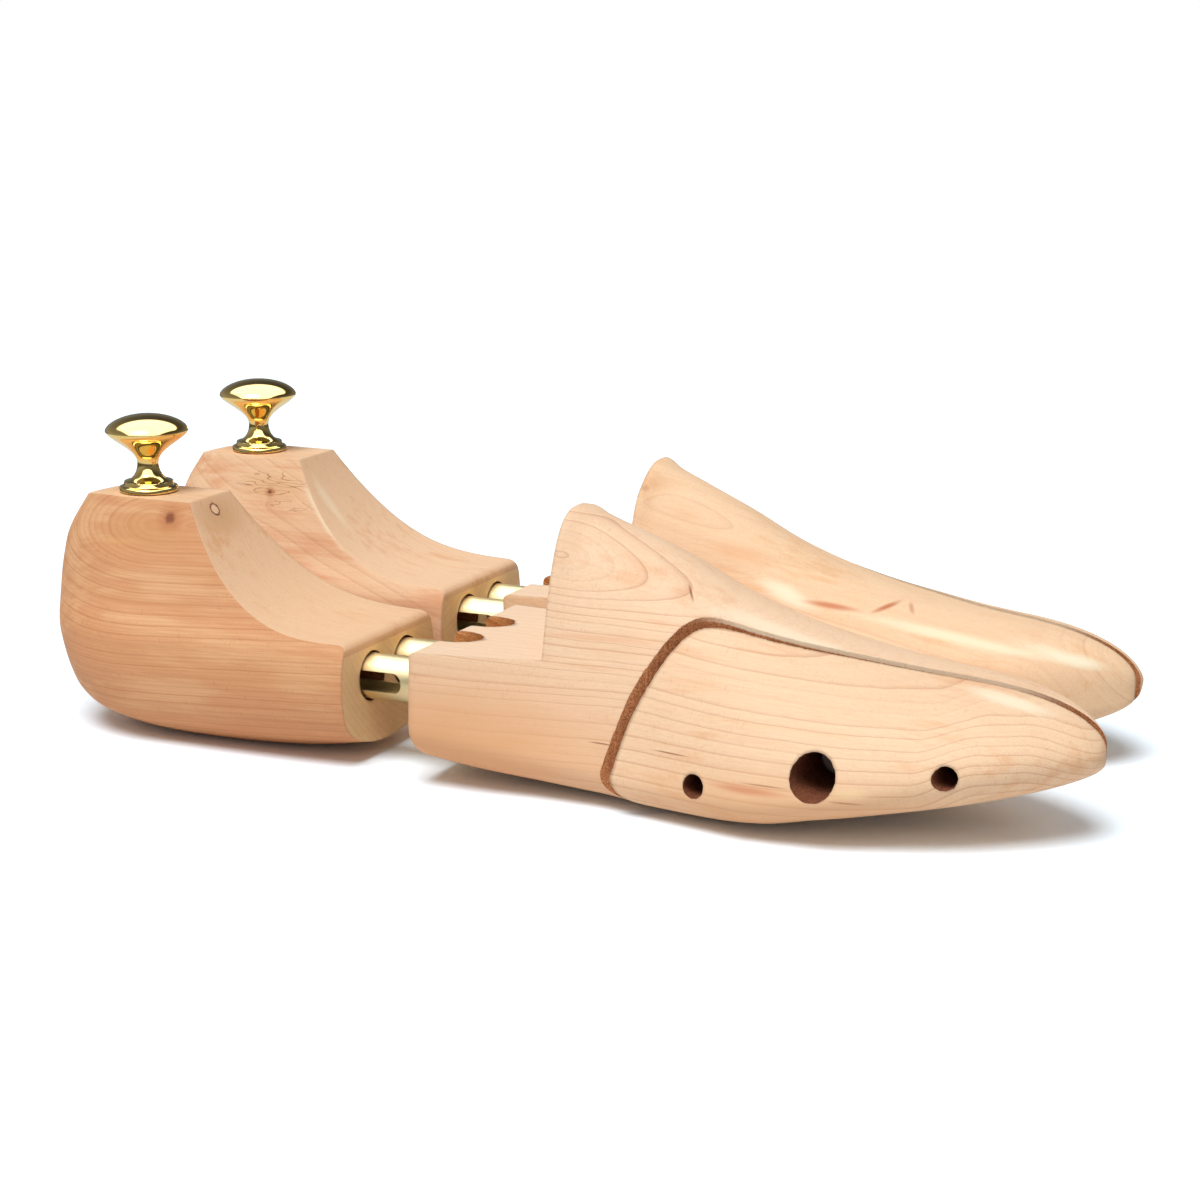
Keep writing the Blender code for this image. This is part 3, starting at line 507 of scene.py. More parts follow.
    def build(self) -> bpy.types.Material:
        """Make the material."""
        plan = Plan(bpy.data.materials.new(self.name))
        figure = self.figure
        tones = figure.tones
        place = plan.millimetres(self.base, self.hand)
        distance = self.layers(plan, place)
        phase = distance / figure.spacing + figure.offset
        turn = plan.math("FRACT", phase)
        ring = plan.noise_line(plan.math("FLOOR", phase) * 7.31 + figure.seed, 0.0)
        edge = plan.between(turn, 1.0, 0.955)
        late = plan.between(turn, 0.62, 0.96) ** 3.0 * edge
        shade = plan.between(turn, 0.0, 1.0) * edge
        sharp = plan.between(turn, 0.84, 0.965) ** 3.0 * edge
        line = plan.math("MAXIMUM", late * 0.6, sharp) * plan.between(ring, 0.2, 0.55)
        clear = plan.between(plan.axes(place)[0], figure.fade_end, figure.fade_start)
        line = line * clear
        fine = plan.math("FRACT", phase * 2.71)
        fine = plan.between(fine, 0.55, 0.9) * plan.between(fine, 1.0, 0.92)

        fibre = self.field(plan, place, (7.0, 0.34, 0.34), 3.0, 0.6)
        streak = self.field(plan, place, (40.0, 2.6, 2.6), 3.0, 0.55, 1.3)
        cloud = self.field(plan, place, (36.0, 22.0, 22.0), 2.0, 0.5, 0.6)
        fleck = self.field(plan, place, (0.5, 2.6, 1.9), 1.0, 0.5, 1.9)
        band = self.field(plan, place, (20.0, 4.0, 4.0), 1.0, 0.5, 2.7)
        grain = self.field(plan, place, (0.55, 0.4, 0.4), 2.0, 0.7, 3.3)
        pore = self.field(plan, place, (1.6, 0.28, 0.28), 2.0, 0.7, 0.8)

        warmth = plan.between(cloud + (streak - 0.5) * 0.8, 0.72 - figure.warm_share * 0.5,
                              1.0 - figure.warm_share * 0.5)
        colour = plan.mix(warmth, tones.pale, tones.warm)
        colour = plan.mix(plan.between(streak, 0.3, 0.75) * 0.18, colour, tones.warm)
        flecks = plan.between(fleck, 0.6, 0.74) * plan.between(band, 0.46, 0.58)
        for share in (shade * clear * 0.05, fine * figure.fine_strength,
                      line * figure.line_strength, (fibre - 0.5) * 0.4 + 0.05,
                      (grain - 0.5) * 0.22 + 0.03, plan.between(pore, 0.62, 0.78) * 0.14,
                      flecks * figure.fleck_strength):
            colour = plan.mix(share, colour, tones.line)
        colour = self.add_marks(plan, place, colour, streak + fibre * 0.5 - 0.75)
        colour = self.add_knots(plan, place, colour)

        facing = plan.node("ShaderNodeTexCoord").outputs["Normal"]
        end_share = plan.between(plan.math("ABSOLUTE", plan.axes(facing)[0]), 0.8, 1.0)
        colour = plan.mix(end_share * 0.4, colour, tones.end)

        relief = (fibre * 0.5 - line * 0.3 - plan.between(pore, 0.6, 0.8) * 0.3
                  + (grain - 0.5) * 0.3)
        normal = plan.bump(relief, self.relief, plan.rounded(self.edge))
        rough = self.roughness + (fibre - 0.5) * 0.12 - line * 0.06
        return plan.finish(Base_Color=colour, Roughness=rough, Normal=normal,
                           Specular_IOR_Level=0.3)


@dataclass(frozen=True)
class CutCedar:
    """Cedar where a tool has left it rough: sawn, torn or drilled.

    Where a depth is given, the upper edge of the face is painted pale down to that depth in
    metres: painted light, brighter than the wood, so that the shaded wall of the saw cut reads
    as lit, and the darker sawn colour below it stays as a dark line. The strip's edge is frayed
    by a little. It starts between the first two places along the tree and ends between the
    last two. The depth comes from the mesh.
    """

    name: str
    base: Triple
    hand: int
    light: Triple
    dark: Triple
    grain: Triple
    relief: float
    painted_light_depth: float = 0.0
    frayed: float = 0.0006
    painted_light_from: tuple[float, float] = (172.0, 188.0)
    painted_light_to: tuple[float, float] = (272.0, 252.0)
    # Colour of the painted light strip at the upper edge of the saw cut's wall.
    painted_light_colour: Triple = srgb(255, 232, 200)

    def build(self) -> bpy.types.Material:
        """Make the material."""
        plan = Plan(bpy.data.materials.new(self.name))
        local = plan.millimetres(self.base, self.hand)
        tooth = plan.noise(plan.placed(local, ORIGIN, self.grain), 4.0, 0.7)
        broad = plan.noise(plan.placed(local, ORIGIN, (6.0, 2.5, 2.5)))
        speck = plan.noise(plan.placed(local, ORIGIN, (0.35, 0.35, 0.35)), 2.0, 0.8)
        shade = plan.between(tooth * 0.6 + speck * 0.4, 0.34, 0.62)
        colour = plan.mix(shade, self.dark, self.light)
        colour = plan.mix(plan.between(broad, 0.35, 0.7) * 0.35, colour, self.dark)
        # Painted light: a pale strip down the upper edge of the face, measured by depth below
        # that edge.
        if self.painted_light_depth > 0.0:
            depth = plan.node("ShaderNodeAttribute", {"attribute_name": "depth"}).outputs["Fac"]
            x = plan.axes(local)[0]
            share = plan.between(Signal(plan, depth) + (tooth - 0.5) * self.frayed,
                                 self.painted_light_depth * 1.2, self.painted_light_depth * 0.8)
            for start, full in (self.painted_light_from, self.painted_light_to):
                share = share * plan.between(x, start, full)
            colour = plan.mix(share, colour, self.painted_light_colour)
        normal = plan.bump(tooth * 0.7 + speck * 0.3, self.relief)
        return plan.finish(Base_Color=colour, Roughness=0.85, Normal=normal,
                           Specular_IOR_Level=0.2)


# Metal


@dataclass(frozen=True)
class Brass:
    """Brass with faint turning lines and small changes of polish."""

    name: str
    colour: Triple
    deep: Triple
    roughness: float
    spread: float
    grain: Triple
    relief: float = 0.000004

    def build(self) -> bpy.types.Material:
        """Make the material."""
        plan = Plan(bpy.data.materials.new(self.name))
        local = plan.millimetres()
        lines = plan.noise(plan.placed(local, ORIGIN, self.grain), 3.0, 0.6)
        haze = plan.noise(plan.placed(local, ORIGIN, (5.0, 5.0, 5.0)), 3.0, 0.6)
        smear = plan.between(haze, 0.4, 0.7)
        colour = plan.mix(smear * 0.3, self.colour, self.deep)
        rough = self.roughness + smear * self.spread + (lines - 0.5) * self.spread
        return plan.finish(Base_Color=colour, Metallic=1.0, Roughness=rough,
                           Normal=plan.bump(lines, self.relief, plan.rounded(0.00012)))


# Mesh building


def placed_item(name: str, data: bpy.types.ID) -> bpy.types.Object:
    """Put a mesh, lamp or camera into the scene under a name."""
    item = bpy.data.objects.new(name, data)
    bpy.context.scene.collection.objects.link(item)
    return item


def to_mesh(bm: bmesh.types.BMesh, name: str) -> bpy.types.Mesh:
    """Turn a mesh being edited into a plain one."""
    mesh = bpy.data.meshes.new(name)
    bm.to_mesh(mesh)
    bm.free()
    return mesh


def plain_mesh(bm: bmesh.types.BMesh, angle: float) -> bpy.types.Mesh:
    """The same, smooth but for corners sharper than an angle in degrees."""
    mesh = to_mesh(bm, "piece")
    mesh.shade_smooth()
    mesh.set_sharp_from_angle(angle=math.radians(angle))
    return mesh


def evaluated(item: bpy.types.Object) -> bpy.types.Mesh:
    """The mesh of an object with its modifiers worked out."""
    bpy.context.view_layer.update()
    graph = bpy.context.evaluated_depsgraph_get()
    return bpy.data.meshes.new_from_object(item.evaluated_get(graph))


def smooth_row(rows: Rows, at: float) -> list[float]:
    """Read a table of rows at a value of its first column, along a monotone cubic.

    Args:
        rows: Rows in rising order of their first value.
        at: Where to read.

    Returns:
        The other columns there.
    """
    keys = [row[0] for row in rows]
    at = min(max(at, keys[0]), keys[-1])
    index = 0
    while index < len(keys) - 2 and at > keys[index + 1]:
        index += 1
    step = keys[index + 1] - keys[index]
    t = (at - keys[index]) / step
    values = []
    for column in range(1, len(rows[0])):
        slopes = []
        for k in (index, index + 1):
            if k in (0, len(keys) - 1):
                near = 0 if k == 0 else len(keys) - 2
                rise = rows[near + 1][column] - rows[near][column]
                slopes.append(rise / (keys[near + 1] - keys[near]))
                continue
            before = (rows[k][column] - rows[k - 1][column]) / (keys[k] - keys[k - 1])
            after = (rows[k + 1][column] - rows[k][column]) / (keys[k + 1] - keys[k])
            slopes.append(0.0 if before * after <= 0 else 2 * before * after / (before + after))
        low = rows[index][column]
        high = rows[index + 1][column]
        values.append((2 * t**3 - 3 * t**2 + 1) * low + (t**3 - 2 * t**2 + t) * step * slopes[0]
                      + (3 * t**2 - 2 * t**3) * high + (t**3 - t**2) * step * slopes[1])
    return values


def even_ring(points: np.ndarray, count: int) -> np.ndarray:
    """Space a closed ring's points evenly along it, from its first point.

    Args:
        points: The ring, one point a row.
        count: How many points to give.

    Returns:
        The evenly spaced ring.
    """
    closed = np.vstack([points, points[:1]])
    steps = np.linalg.norm(np.diff(closed, axis=0), axis=1)
    along = np.concatenate([[0.0], np.cumsum(steps)])
    places = np.linspace(0.0, along[-1], count, endpoint=False)
    return np.column_stack([np.interp(places, along, closed[:, k]) for k in range(3)])


def ring_loft(rings: list[np.ndarray]) -> bmesh.types.BMesh:
    """Skin between rings of equal point count, with flat ends."""
    bm = bmesh.new()
    loops = [[bm.verts.new(point) for point in ring] for ring in rings]
    count = len(rings[0])
    for low, high in zip(loops[:-1], loops[1:]):
        for k in range(count):
            j = (k + 1) % count
            bm.faces.new((low[k], low[j], high[j], high[k]))
    bm.faces.new(list(reversed(loops[0])))
    bm.faces.new(loops[-1])
    bmesh.ops.recalc_face_normals(bm, faces=bm.faces)
    return bm


def painted(bm: bmesh.types.BMesh, slot: int) -> bmesh.types.BMesh:
    """The same mesh with every face in one material slot."""
    for face in bm.faces:
        face.material_index = slot
    return bm


def arc(centre: tuple[float, float], radius: float, start: float, turn: float,
        steps: int) -> Outline:
    """Points on an arc, both ends with it, from angles in radians."""
    return [(centre[0] + radius * math.cos(start + turn * k / steps),
             centre[1] + radius * math.sin(start + turn * k / steps))
            for k in range(steps + 1)]


def prism(points: Outline, thickness: float, slots: list[int],
          standing: bool) -> bmesh.types.BMesh:
    """A flat outline given thickness about the third axis.

    Args:
        points: The outline, in XY, or in XZ where it stands.
        thickness: Whole thickness.
        slots: Material slot of the wall after each point.
        standing: Whether the outline stands in XZ and is thick along Y.

    Returns:
        The closed mesh.
    """
    bm = bmesh.new()
    half = thickness / 2.0
    ends = []
    for offset in (-half, half):
        if standing:
            ends.append([bm.verts.new((x, offset, z)) for x, z in points])
        else:
            ends.append([bm.verts.new((x, y, offset)) for x, y in points])
    bm.faces.new(ends[0])
    bm.faces.new(list(reversed(ends[1])))
    count = len(points)
    for k in range(count):
        j = (k + 1) % count
        wall = bm.faces.new((ends[0][k], ends[1][k], ends[1][j], ends[0][j]))
        wall.material_index = slots[k]
    bmesh.ops.recalc_face_normals(bm, faces=bm.faces)
    return bm


def turned(profile: Outline, segments: int) -> bmesh.types.BMesh:
    """Turn a profile of (radius, height) about Z into a closed mesh.

    Args:
        profile: Points from axis to axis, or a closed loop where none is on the axis.
        segments: How many steps make the turn.

    Returns:
        The turned mesh.
    """
    bm = bmesh.new()
    columns = []
    for k in range(segments):
        angle = 2.0 * math.pi * k / segments
        columns.append([(radius * math.cos(angle), radius * math.sin(angle), height)
                        for radius, height in profile])
    loops = []
    for index, (radius, height) in enumerate(profile):
        if radius < 1e-7:
            loops.append([bm.verts.new((0.0, 0.0, height))] * segments)
        else:
            loops.append([bm.verts.new(column[index]) for column in columns])
    pairs = list(zip(loops[:-1], loops[1:]))
    if profile[0][0] > 1e-7:
        pairs.append((loops[-1], loops[0]))
    for low, high in pairs:
        for k in range(segments):
            j = (k + 1) % segments
            corners = [low[k], low[j], high[j], high[k]]
            unique = [v for i, v in enumerate(corners) if v not in corners[:i]]
            bm.faces.new(unique)
    bmesh.ops.recalc_face_normals(bm, faces=bm.faces)
    return bm


def drill(radius: float, start: Triple, end: Triple, slot: int, segments: int = 48,
          fray: float = 0.0, seed: int = 1) -> Step:
    """The step that drills a round hole, whose wall may be a little uneven.

    Args:
        radius: Radius of the hole.
        start: Middle of one end.
        end: Middle of the other end.
        slot: Material slot of its wall.
        segments: Sides of the hole.
        fray: How far the wall may stray, in metres.
        seed: Seed of the unevenness.

    Returns:
        The Boolean operation and its cutter.
    """
    first = Vector(start)
    run = Vector(end) - first
    chance = np.random.default_rng(seed)
    spread = chance.normal(0.0, 1.0, segments)
    spread = (spread + np.roll(spread, 1) + 0.5 * np.roll(spread, 2)) / 2.5
    profile = [(radius + fray * float(np.clip(s, -1.2, 1.6)), 2.0 * math.pi * k / segments)
               for k, s in enumerate(spread)]
    turn = run.to_track_quat("Z", "Y").to_matrix()
    rings = []
    for share in (0.0, 1.0):
        rings.append(np.array([first + turn @ Vector((r * math.cos(a), r * math.sin(a),
                                                      run.length * share))
                               for r, a in profile]))
    return "DIFFERENCE", painted(ring_loft(rings), slot)


def rod(radius: float, start: Triple, end: Triple, chamfer: float,
        segments: int = 48) -> bmesh.types.BMesh:
    """A round pin between two points, with chamfered ends."""
    first = Vector(start)
    run = Vector(end) - first
    length = run.length
    bm = turned([(0.0, 0.0), (radius - chamfer, 0.0), (radius, chamfer),
                 (radius, length - chamfer), (radius - chamfer, length), (0.0, length)],
                segments)
    turn = run.to_track_quat("Z", "Y").to_matrix().to_4x4()
    bmesh.ops.transform(bm, matrix=Matrix.Translation(first) @ turn, verts=bm.verts)
    return bm


class Workbench:
    """Makes meshes from cutters, and softens their shading."""

    def __init__(self, slots: int) -> None:
        """Prepare blank materials so that cut faces keep their slot.

        Args:
            slots: How many material slots a wooden piece has.
        """
        self.blanks = [bpy.data.materials.new(f"blank_{k}") for k in range(slots)]

    def item(self, bm: bmesh.types.BMesh, name: str) -> bpy.types.Object:
        """Make a loose object of a mesh being edited, with the blank slots."""
        mesh = to_mesh(bm, name)
        for blank in self.blanks:
            mesh.materials.append(blank)
        return placed_item(name, mesh)

    def carve(self, bm: bmesh.types.BMesh, steps: list[Step]) -> bpy.types.Mesh:
        """Cut a mesh with others in turn.

        Args:
            bm: The stock.
            steps: Pairs of Boolean operation and cutter.

        Returns:
            The mesh that is left, with each face in the slot of the tool that made it.
        """
        stock = self.item(bm, "stock")
        loose = [stock]
        for operation, cutter in steps:
            tool = self.item(cutter, "tool")
            loose.append(tool)
            modifier = stock.modifiers.new("cut", "BOOLEAN")
            modifier.operation = operation
            modifier.object = tool
            modifier.solver = "EXACT"
        result = evaluated(stock)
        for item in loose:
            mesh = item.data
            bpy.data.objects.remove(item, do_unlink=True)
            bpy.data.meshes.remove(mesh)
        return result

    @staticmethod
    def soften(mesh: bpy.types.Mesh, angle: float = 32.0) -> None:
        """Shade smooth, but sharp at corners and where one tool's surface meets another's."""
        mesh.shade_smooth()
        mesh.set_sharp_from_angle(angle=math.radians(angle))
        bm = bmesh.new()
        bm.from_mesh(mesh)
        for edge in bm.edges:
            if len(edge.link_faces) == 2:
                first, second = edge.link_faces
                if first.material_index != second.material_index:
                    edge.smooth = False
        bm.to_mesh(mesh)
        bm.free()

    def clear(self) -> None:
        """Remove the blank materials."""
        for blank in self.blanks:
            bpy.data.materials.remove(blank)


@dataclass(frozen=True)
class Stand:
    """Where one tree stands."""

    side: Side
    spacing: float = 72.1 * MM
    setback: float = 7.8 * MM
    middle: float = 121.465 * MM

    @property
    def base(self) -> Triple:
        """The tree's own origin in the row's frame."""
        back = 0.0 if self.side is Side.RIGHT else self.setback
        return (-self.middle - back, -self.side.hand * self.spacing / 2.0, 0.0)

    def put(self, name: str, mesh: bpy.types.Mesh, materials: list[bpy.types.Material],
            body: str, node: str | None = None) -> bpy.types.Object:
        """Copy a mesh of the tree's frame onto the frame as a finished piece.

        Args:
            name: Name of the piece, without its side.
            mesh: Mesh in the tree's frame, made for the right tree.
            materials: Materials for its slots.
            body: Body it moves with, without its side.
            node: CAD node it stands for, without its side.

        Returns:
            The piece.
        """
        side = self.side.value
        bm = bmesh.new()
        bm.from_mesh(mesh)
        matrix = Matrix.Translation(self.base) @ Matrix.Diagonal((1.0, self.side.hand, 1.0, 1.0))
        bmesh.ops.transform(bm, matrix=matrix, verts=bm.verts)
        if self.side.hand < 0:
            bmesh.ops.reverse_faces(bm, faces=bm.faces)
        copy = to_mesh(bm, f"{side}_{name}")
        for material in materials:
            copy.materials.append(material)
        piece = placed_item(f"{side}_{name}", copy)
        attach(piece, f"{side}_{body}")
        if node is not None:
            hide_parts(f"{side}_{node}")
        log.info("%s: %d faces on %s_%s", piece.name, len(copy.polygons), side, body)
        return piece

    def shorten(self, spring: bpy.types.Object, along: tuple[float, float, float],
                travel: float) -> None:
        """Measure a spring along a direction, and give it a mesh of its own.

        Args:
            spring: The spring, already on its body.
            along: Direction from the end that stays to the end that gives way.
            travel: How far that end comes in at the joint's limit.
        """
        axis = Vector((along[0], along[1] * self.side.hand, along[2]))
        spots = [spring.matrix_world @ vertex.co for vertex in spring.data.vertices]
        still = min(spots, key=axis.dot)
        length = max(axis.dot(spot) for spot in spots) - axis.dot(still)
        1.0 - travel / length
        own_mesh(spring)


# Sub-assemblies


@dataclass(frozen=True)
class TubePair:
    """The two slotted brass tubes of a tree."""

    radius: float = 6.35 * MM
    wall: float = 0.9 * MM
    spacing: float = 19.0 * MM
    height: float = 23.8 * MM
    rear: float = 45.0 * MM
    front: float = 152.0 * MM
    pivot: float = 139.0 * MM
    pivot_radius: float = 2.58 * MM
    slot_height: float = 5.6 * MM
    slot_rear: float = 65.1 * MM
    slot_front: float = 89.7 * MM
    ease: float = 0.15 * MM
    segments: int = 96
    wood_bore: float = 2.65 * MM
    wood_pocket: float = 3.5 * MM

    @property
    def sides(self) -> tuple[tuple[str, float], tuple[str, float]]:
        """Names and sideways places of the tubes."""
        return ("lateral", -self.spacing / 2.0), ("medial", self.spacing / 2.0)

    def shell(self) -> bmesh.types.BMesh:
        """The plain tube about Z, with eased ends."""
        ease = self.ease
        inner = self.radius - self.wall
        return turned([(self.radius, self.front - ease), (self.radius, self.rear + ease),
                       (self.radius - ease, self.rear), (inner + ease, self.rear),
                       (inner, self.rear + ease), (inner, self.front - ease),
                       (inner + ease, self.front), (self.radius - ease, self.front)],
                      self.segments)

    def slot_outline(self) -> Outline:
        """Side view of the round-ended slot, about the tube's axis."""
        half = self.slot_height / 2.0
        quarter = math.radians(90.0)
        return (arc((self.slot_front - half, self.height), half, -quarter, 2.0 * quarter, 24)
                + arc((self.slot_rear + half, self.height), half, quarter, 2.0 * quarter, 24))

    def meshes(self, bench: Workbench) -> dict[str, bpy.types.Mesh]:
        """Both tubes in the tree's frame."""
        made = {}
        for name, y in self.sides:
            shell = self.shell()
            bmesh.ops.transform(shell, matrix=Matrix.Rotation(math.radians(90), 4, "Y"),
                                verts=shell.verts)
            bmesh.ops.translate(shell, vec=(0.0, y, self.height), verts=shell.verts)
            outline = self.slot_outline()
            slot = prism(outline, 3.0 * self.radius, [0] * len(outline), True)
            bmesh.ops.translate(slot, vec=(0.0, y, 0.0), verts=slot.verts)
            hole = drill(self.pivot_radius, (self.pivot, y - 2.0 * self.radius, self.height),
                         (self.pivot, y + 2.0 * self.radius, self.height), 0)
            mesh = bench.carve(shell, [("DIFFERENCE", slot), hole])
            bench.soften(mesh, 35.0)
            made[name] = mesh
        return made


@dataclass(frozen=True)
class HeelBlock:
    """The turned and sliced wooden heel."""

    travel: float = 20.0 * MM
    height: float = 67.6 * MM
    rear: float = 28.0 * MM
    front: float = 77.4 * MM
    half_width: float = 27.6 * MM
    slope_start: float = 20.5 * MM
    slope_foot: float = 35.1 * MM
    slope_power: float = 3.0
    chamfer: float = 3.0 * MM
    top_fall: float = 1.4 * MM
    top_fall_start: float = 6.0 * MM
    top_reach: float = 18.2 * MM
    bore_radius: float = 7.0 * MM
    bore_bottom: float = 10.0 * MM
    spring_wire: float = 1.0 * MM
    spring_curls: float = 6.0
    spring_gap: float = 0.3 * MM
    pin_at: float = 67.4 * MM
    pin_radius: float = 2.15 * MM
    pin_reach: float = 19.5 * MM
    stud_radius: float = 2.15 * MM
    stud_depth: float = 22.15 * MM
    rear_square: float = 2.15
    fine_steps: int = 2880
    levels: int = 96
    around: int = 190
    fray: float = 0.05 * MM
    slices: Rows = (
        (-0.008, -0.30, 0.42, 0.72, 0.13, 2.0),
        (0.018, 0.04, 0.36, 0.84, 0.42, 2.2),
        (0.045, 0.31, 0.30, 0.94, 0.59, 2.4),
        (0.126, 0.65, 0.20, 1.20, 0.86, 3.4),
        (0.207, 0.80, 0.16, 1.32, 0.957, 4.2),
        (0.340, 0.915, 0.13, 1.36, 1.0, 4.5),
        (0.444, 0.98, 0.12, 1.36, 0.975, 4.5),
        (0.592, 1.0, 0.09, 1.26, 0.785, 3.8),
        (0.784, 0.945, 0.04, 1.11, 0.60, 3.0),
        (1.036, 0.60, 0.025, 0.85, 0.345, 2.2),
    )

    def ring(self, level: float) -> np.ndarray:
        """One level slice of the block, at a share of its height."""
        rear, widest, front, half, square = smooth_row(self.slices, level)
        middle = widest * self.front
        angle = np.linspace(0.0, 2.0 * math.pi, self.fine_steps, endpoint=False)
        cosine = np.cos(angle)
        sine = np.sin(angle)
        ahead = cosine > 0
        power = np.where(ahead, 2.0 / square, 2.0 / self.rear_square)
        reach = np.where(ahead, front * self.front - middle, middle + rear * self.rear)
        x = middle + reach * np.sign(cosine) * np.abs(cosine) ** power
        y = half * self.half_width * np.sign(sine) * np.abs(sine) ** power
        points = np.column_stack([x, y, np.full(len(x), level * self.height)])
        return even_ring(points, self.around)

    def slope_height(self, x: float) -> float:
        """Height of the concave slope at a distance along the tree."""
        share = (self.front - x) / (self.front - self.slope_start)
        return self.slope_foot + (self.height - self.slope_foot) * share**self.slope_power

    def side_outline(self) -> tuple[Outline, list[int]]:
        """Side view of the block, and the slot of the wall after each point."""
        behind = -self.rear - BEYOND
        points = [(behind, 0.0), (self.front, 0.0),
                  (self.front, self.slope_foot - self.chamfer)]
        slots = [Face.SHAPED, Face.END, Face.TOP]
        start = self.front - self.chamfer
        low = points[-1]
        high = (start, self.slope_height(start))
        steps = 9
        for k in range(1, steps):
            t = k / steps
            points.append(((1.0 - t * t) * self.front + t * t * high[0],
                           (1.0 - t) ** 2 * low[1] + 2.0 * t * (1.0 - t) * self.slope_foot
                           + t * t * high[1]))
            slots.append(Face.TOP)
        steps = 72
        for k in range(steps + 1):
            x = start + (self.slope_start - start) * k / steps
            points.append((x, self.slope_height(x)))
            slots.append(Face.TOP)
        start = -self.top_fall_start
        steps = 48
        for k in range(steps + 1):
            x = start + (behind - start) * k / steps
            share = (x - start) / (self.top_reach - self.top_fall_start)
            points.append((x, self.height - self.top_fall * share**2))
            slots.append(Face.TOP if k < steps else Face.SHAPED)
        return points, slots

    def mesh(self, bench: Workbench, tubes: TubePair) -> bpy.types.Mesh:
        """The finished block in the tree's frame."""
        levels = np.linspace(self.slices[0][0], 1.02, self.levels)
        body = ring_loft([self.ring(level) for level in levels])
        outline, slots = self.side_outline()
        cuts = [("INTERSECT", prism(outline, 3.0 * self.half_width, slots, True))]
        for index, (_, y) in enumerate(tubes.sides):
            cuts.append(drill(self.bore_radius, (self.bore_bottom, y, tubes.height),
                              (self.front + BEYOND, y, tubes.height), Face.DRILLED, 72,
                              self.fray, 11 + index))
        cuts.append(drill(self.pin_radius, (self.pin_at, -self.pin_reach, tubes.height),
                          (self.pin_at, self.half_width + BEYOND, tubes.height),
                          Face.DRILLED, 40))
        cuts.append(drill(self.stud_radius, (0.0, 0.0, self.height - self.stud_depth),
                          (0.0, 0.0, self.height + BEYOND), Face.DRILLED, 40))
        mesh = bench.carve(body, cuts)
        bench.soften(mesh)
        return mesh

    def springs(self, tubes: TubePair, steel: bpy.types.Material) -> dict[str, bpy.types.Mesh]:
        """The springs in the two bores, behind the tubes."""
        made = {}
        length = tubes.rear - self.bore_bottom - 2.0 * self.spring_gap
        for name, y in tubes.sides:
            coil = CoilSpring(tubes.radius - tubes.wall / 2.0, self.spring_wire, length,
                              self.spring_curls).mesh(steel)
            start = Matrix.Translation((self.bore_bottom + self.spring_gap, y, tubes.height))
            coil.transform(start @ Matrix.Rotation(math.radians(90.0), 4, "Y"))
            made[name] = coil
        return made


@dataclass(frozen=True)
class Knob:
    """The turned brass knob and its seat on the heel."""

    seat: float = 67.9 * MM
    rim: float = 11.75 * MM
    neck: float = 3.0 * MM
    flange: float = 8.3 * MM
    bead: float = 7.0 * MM
    height: float = 22.0 * MM
    rim_height: float = 17.4 * MM
    neck_height: float = 8.0 * MM
    bowl_power: float = 0.8
    dome_power: float = 1.2
    flange_thickness: float = 1.4 * MM
    hole: float = 2.15 * MM
    hole_depth: float = 8.65 * MM
    segments: int = 128

    def profile(self) -> Outline:
        """Half section, from the top of the dome down the outside to the stud hole."""
        points = [(0.0, self.height)]
        dome = self.height - self.rim_height
        steps = 36
        for k in range(1, steps + 1):
            angle = math.radians(90.0) * k / steps
            points.append((self.rim * math.sin(angle),
                           self.rim_height + dome * math.cos(angle) ** self.dome_power))
        rise = self.rim_height - self.neck_height
        for k in range(1, steps + 1):
            share = k / steps
            radius = self.neck + (self.rim - self.neck) * (
                0.5 + 0.5 * math.cos(math.pi * share**self.bowl_power))
            points.append((radius, self.rim_height - rise * share))
        flare = self.neck_height - 2.0 * self.flange_thickness
        steps = 14
        for k in range(1, steps + 1):
            angle = math.radians(80.0) * k / steps
            radius = self.neck + (self.bead - self.neck) * (1.0 - math.cos(angle))
            points.append((radius, self.neck_height - flare * math.sin(angle)))
        bead = 2.0 * self.flange_thickness
        points += [(self.bead - 0.1 * MM, bead), (self.bead, bead * 0.93),
                   (self.bead, bead * 0.66), (self.bead + 0.15 * MM, bead * 0.58),
                   (self.flange - 0.5 * MM, self.flange_thickness + 0.05 * MM),
                   (self.flange - 0.15 * MM, self.flange_thickness - 0.1 * MM),
                   (self.flange, self.flange_thickness - 0.35 * MM),
                   (self.flange, 0.12 * MM), (self.flange - 0.12 * MM, 0.0),
                   (self.hole, 0.0), (self.hole, self.hole_depth), (0.0, self.hole_depth)]
        return points

    def mesh(self) -> bpy.types.Mesh:
        """The knob in the tree's frame."""
        bm = turned(self.profile(), self.segments)
        bmesh.ops.translate(bm, vec=(0.0, 0.0, self.seat), verts=bm.verts)
        return plain_mesh(bm, 38.0)


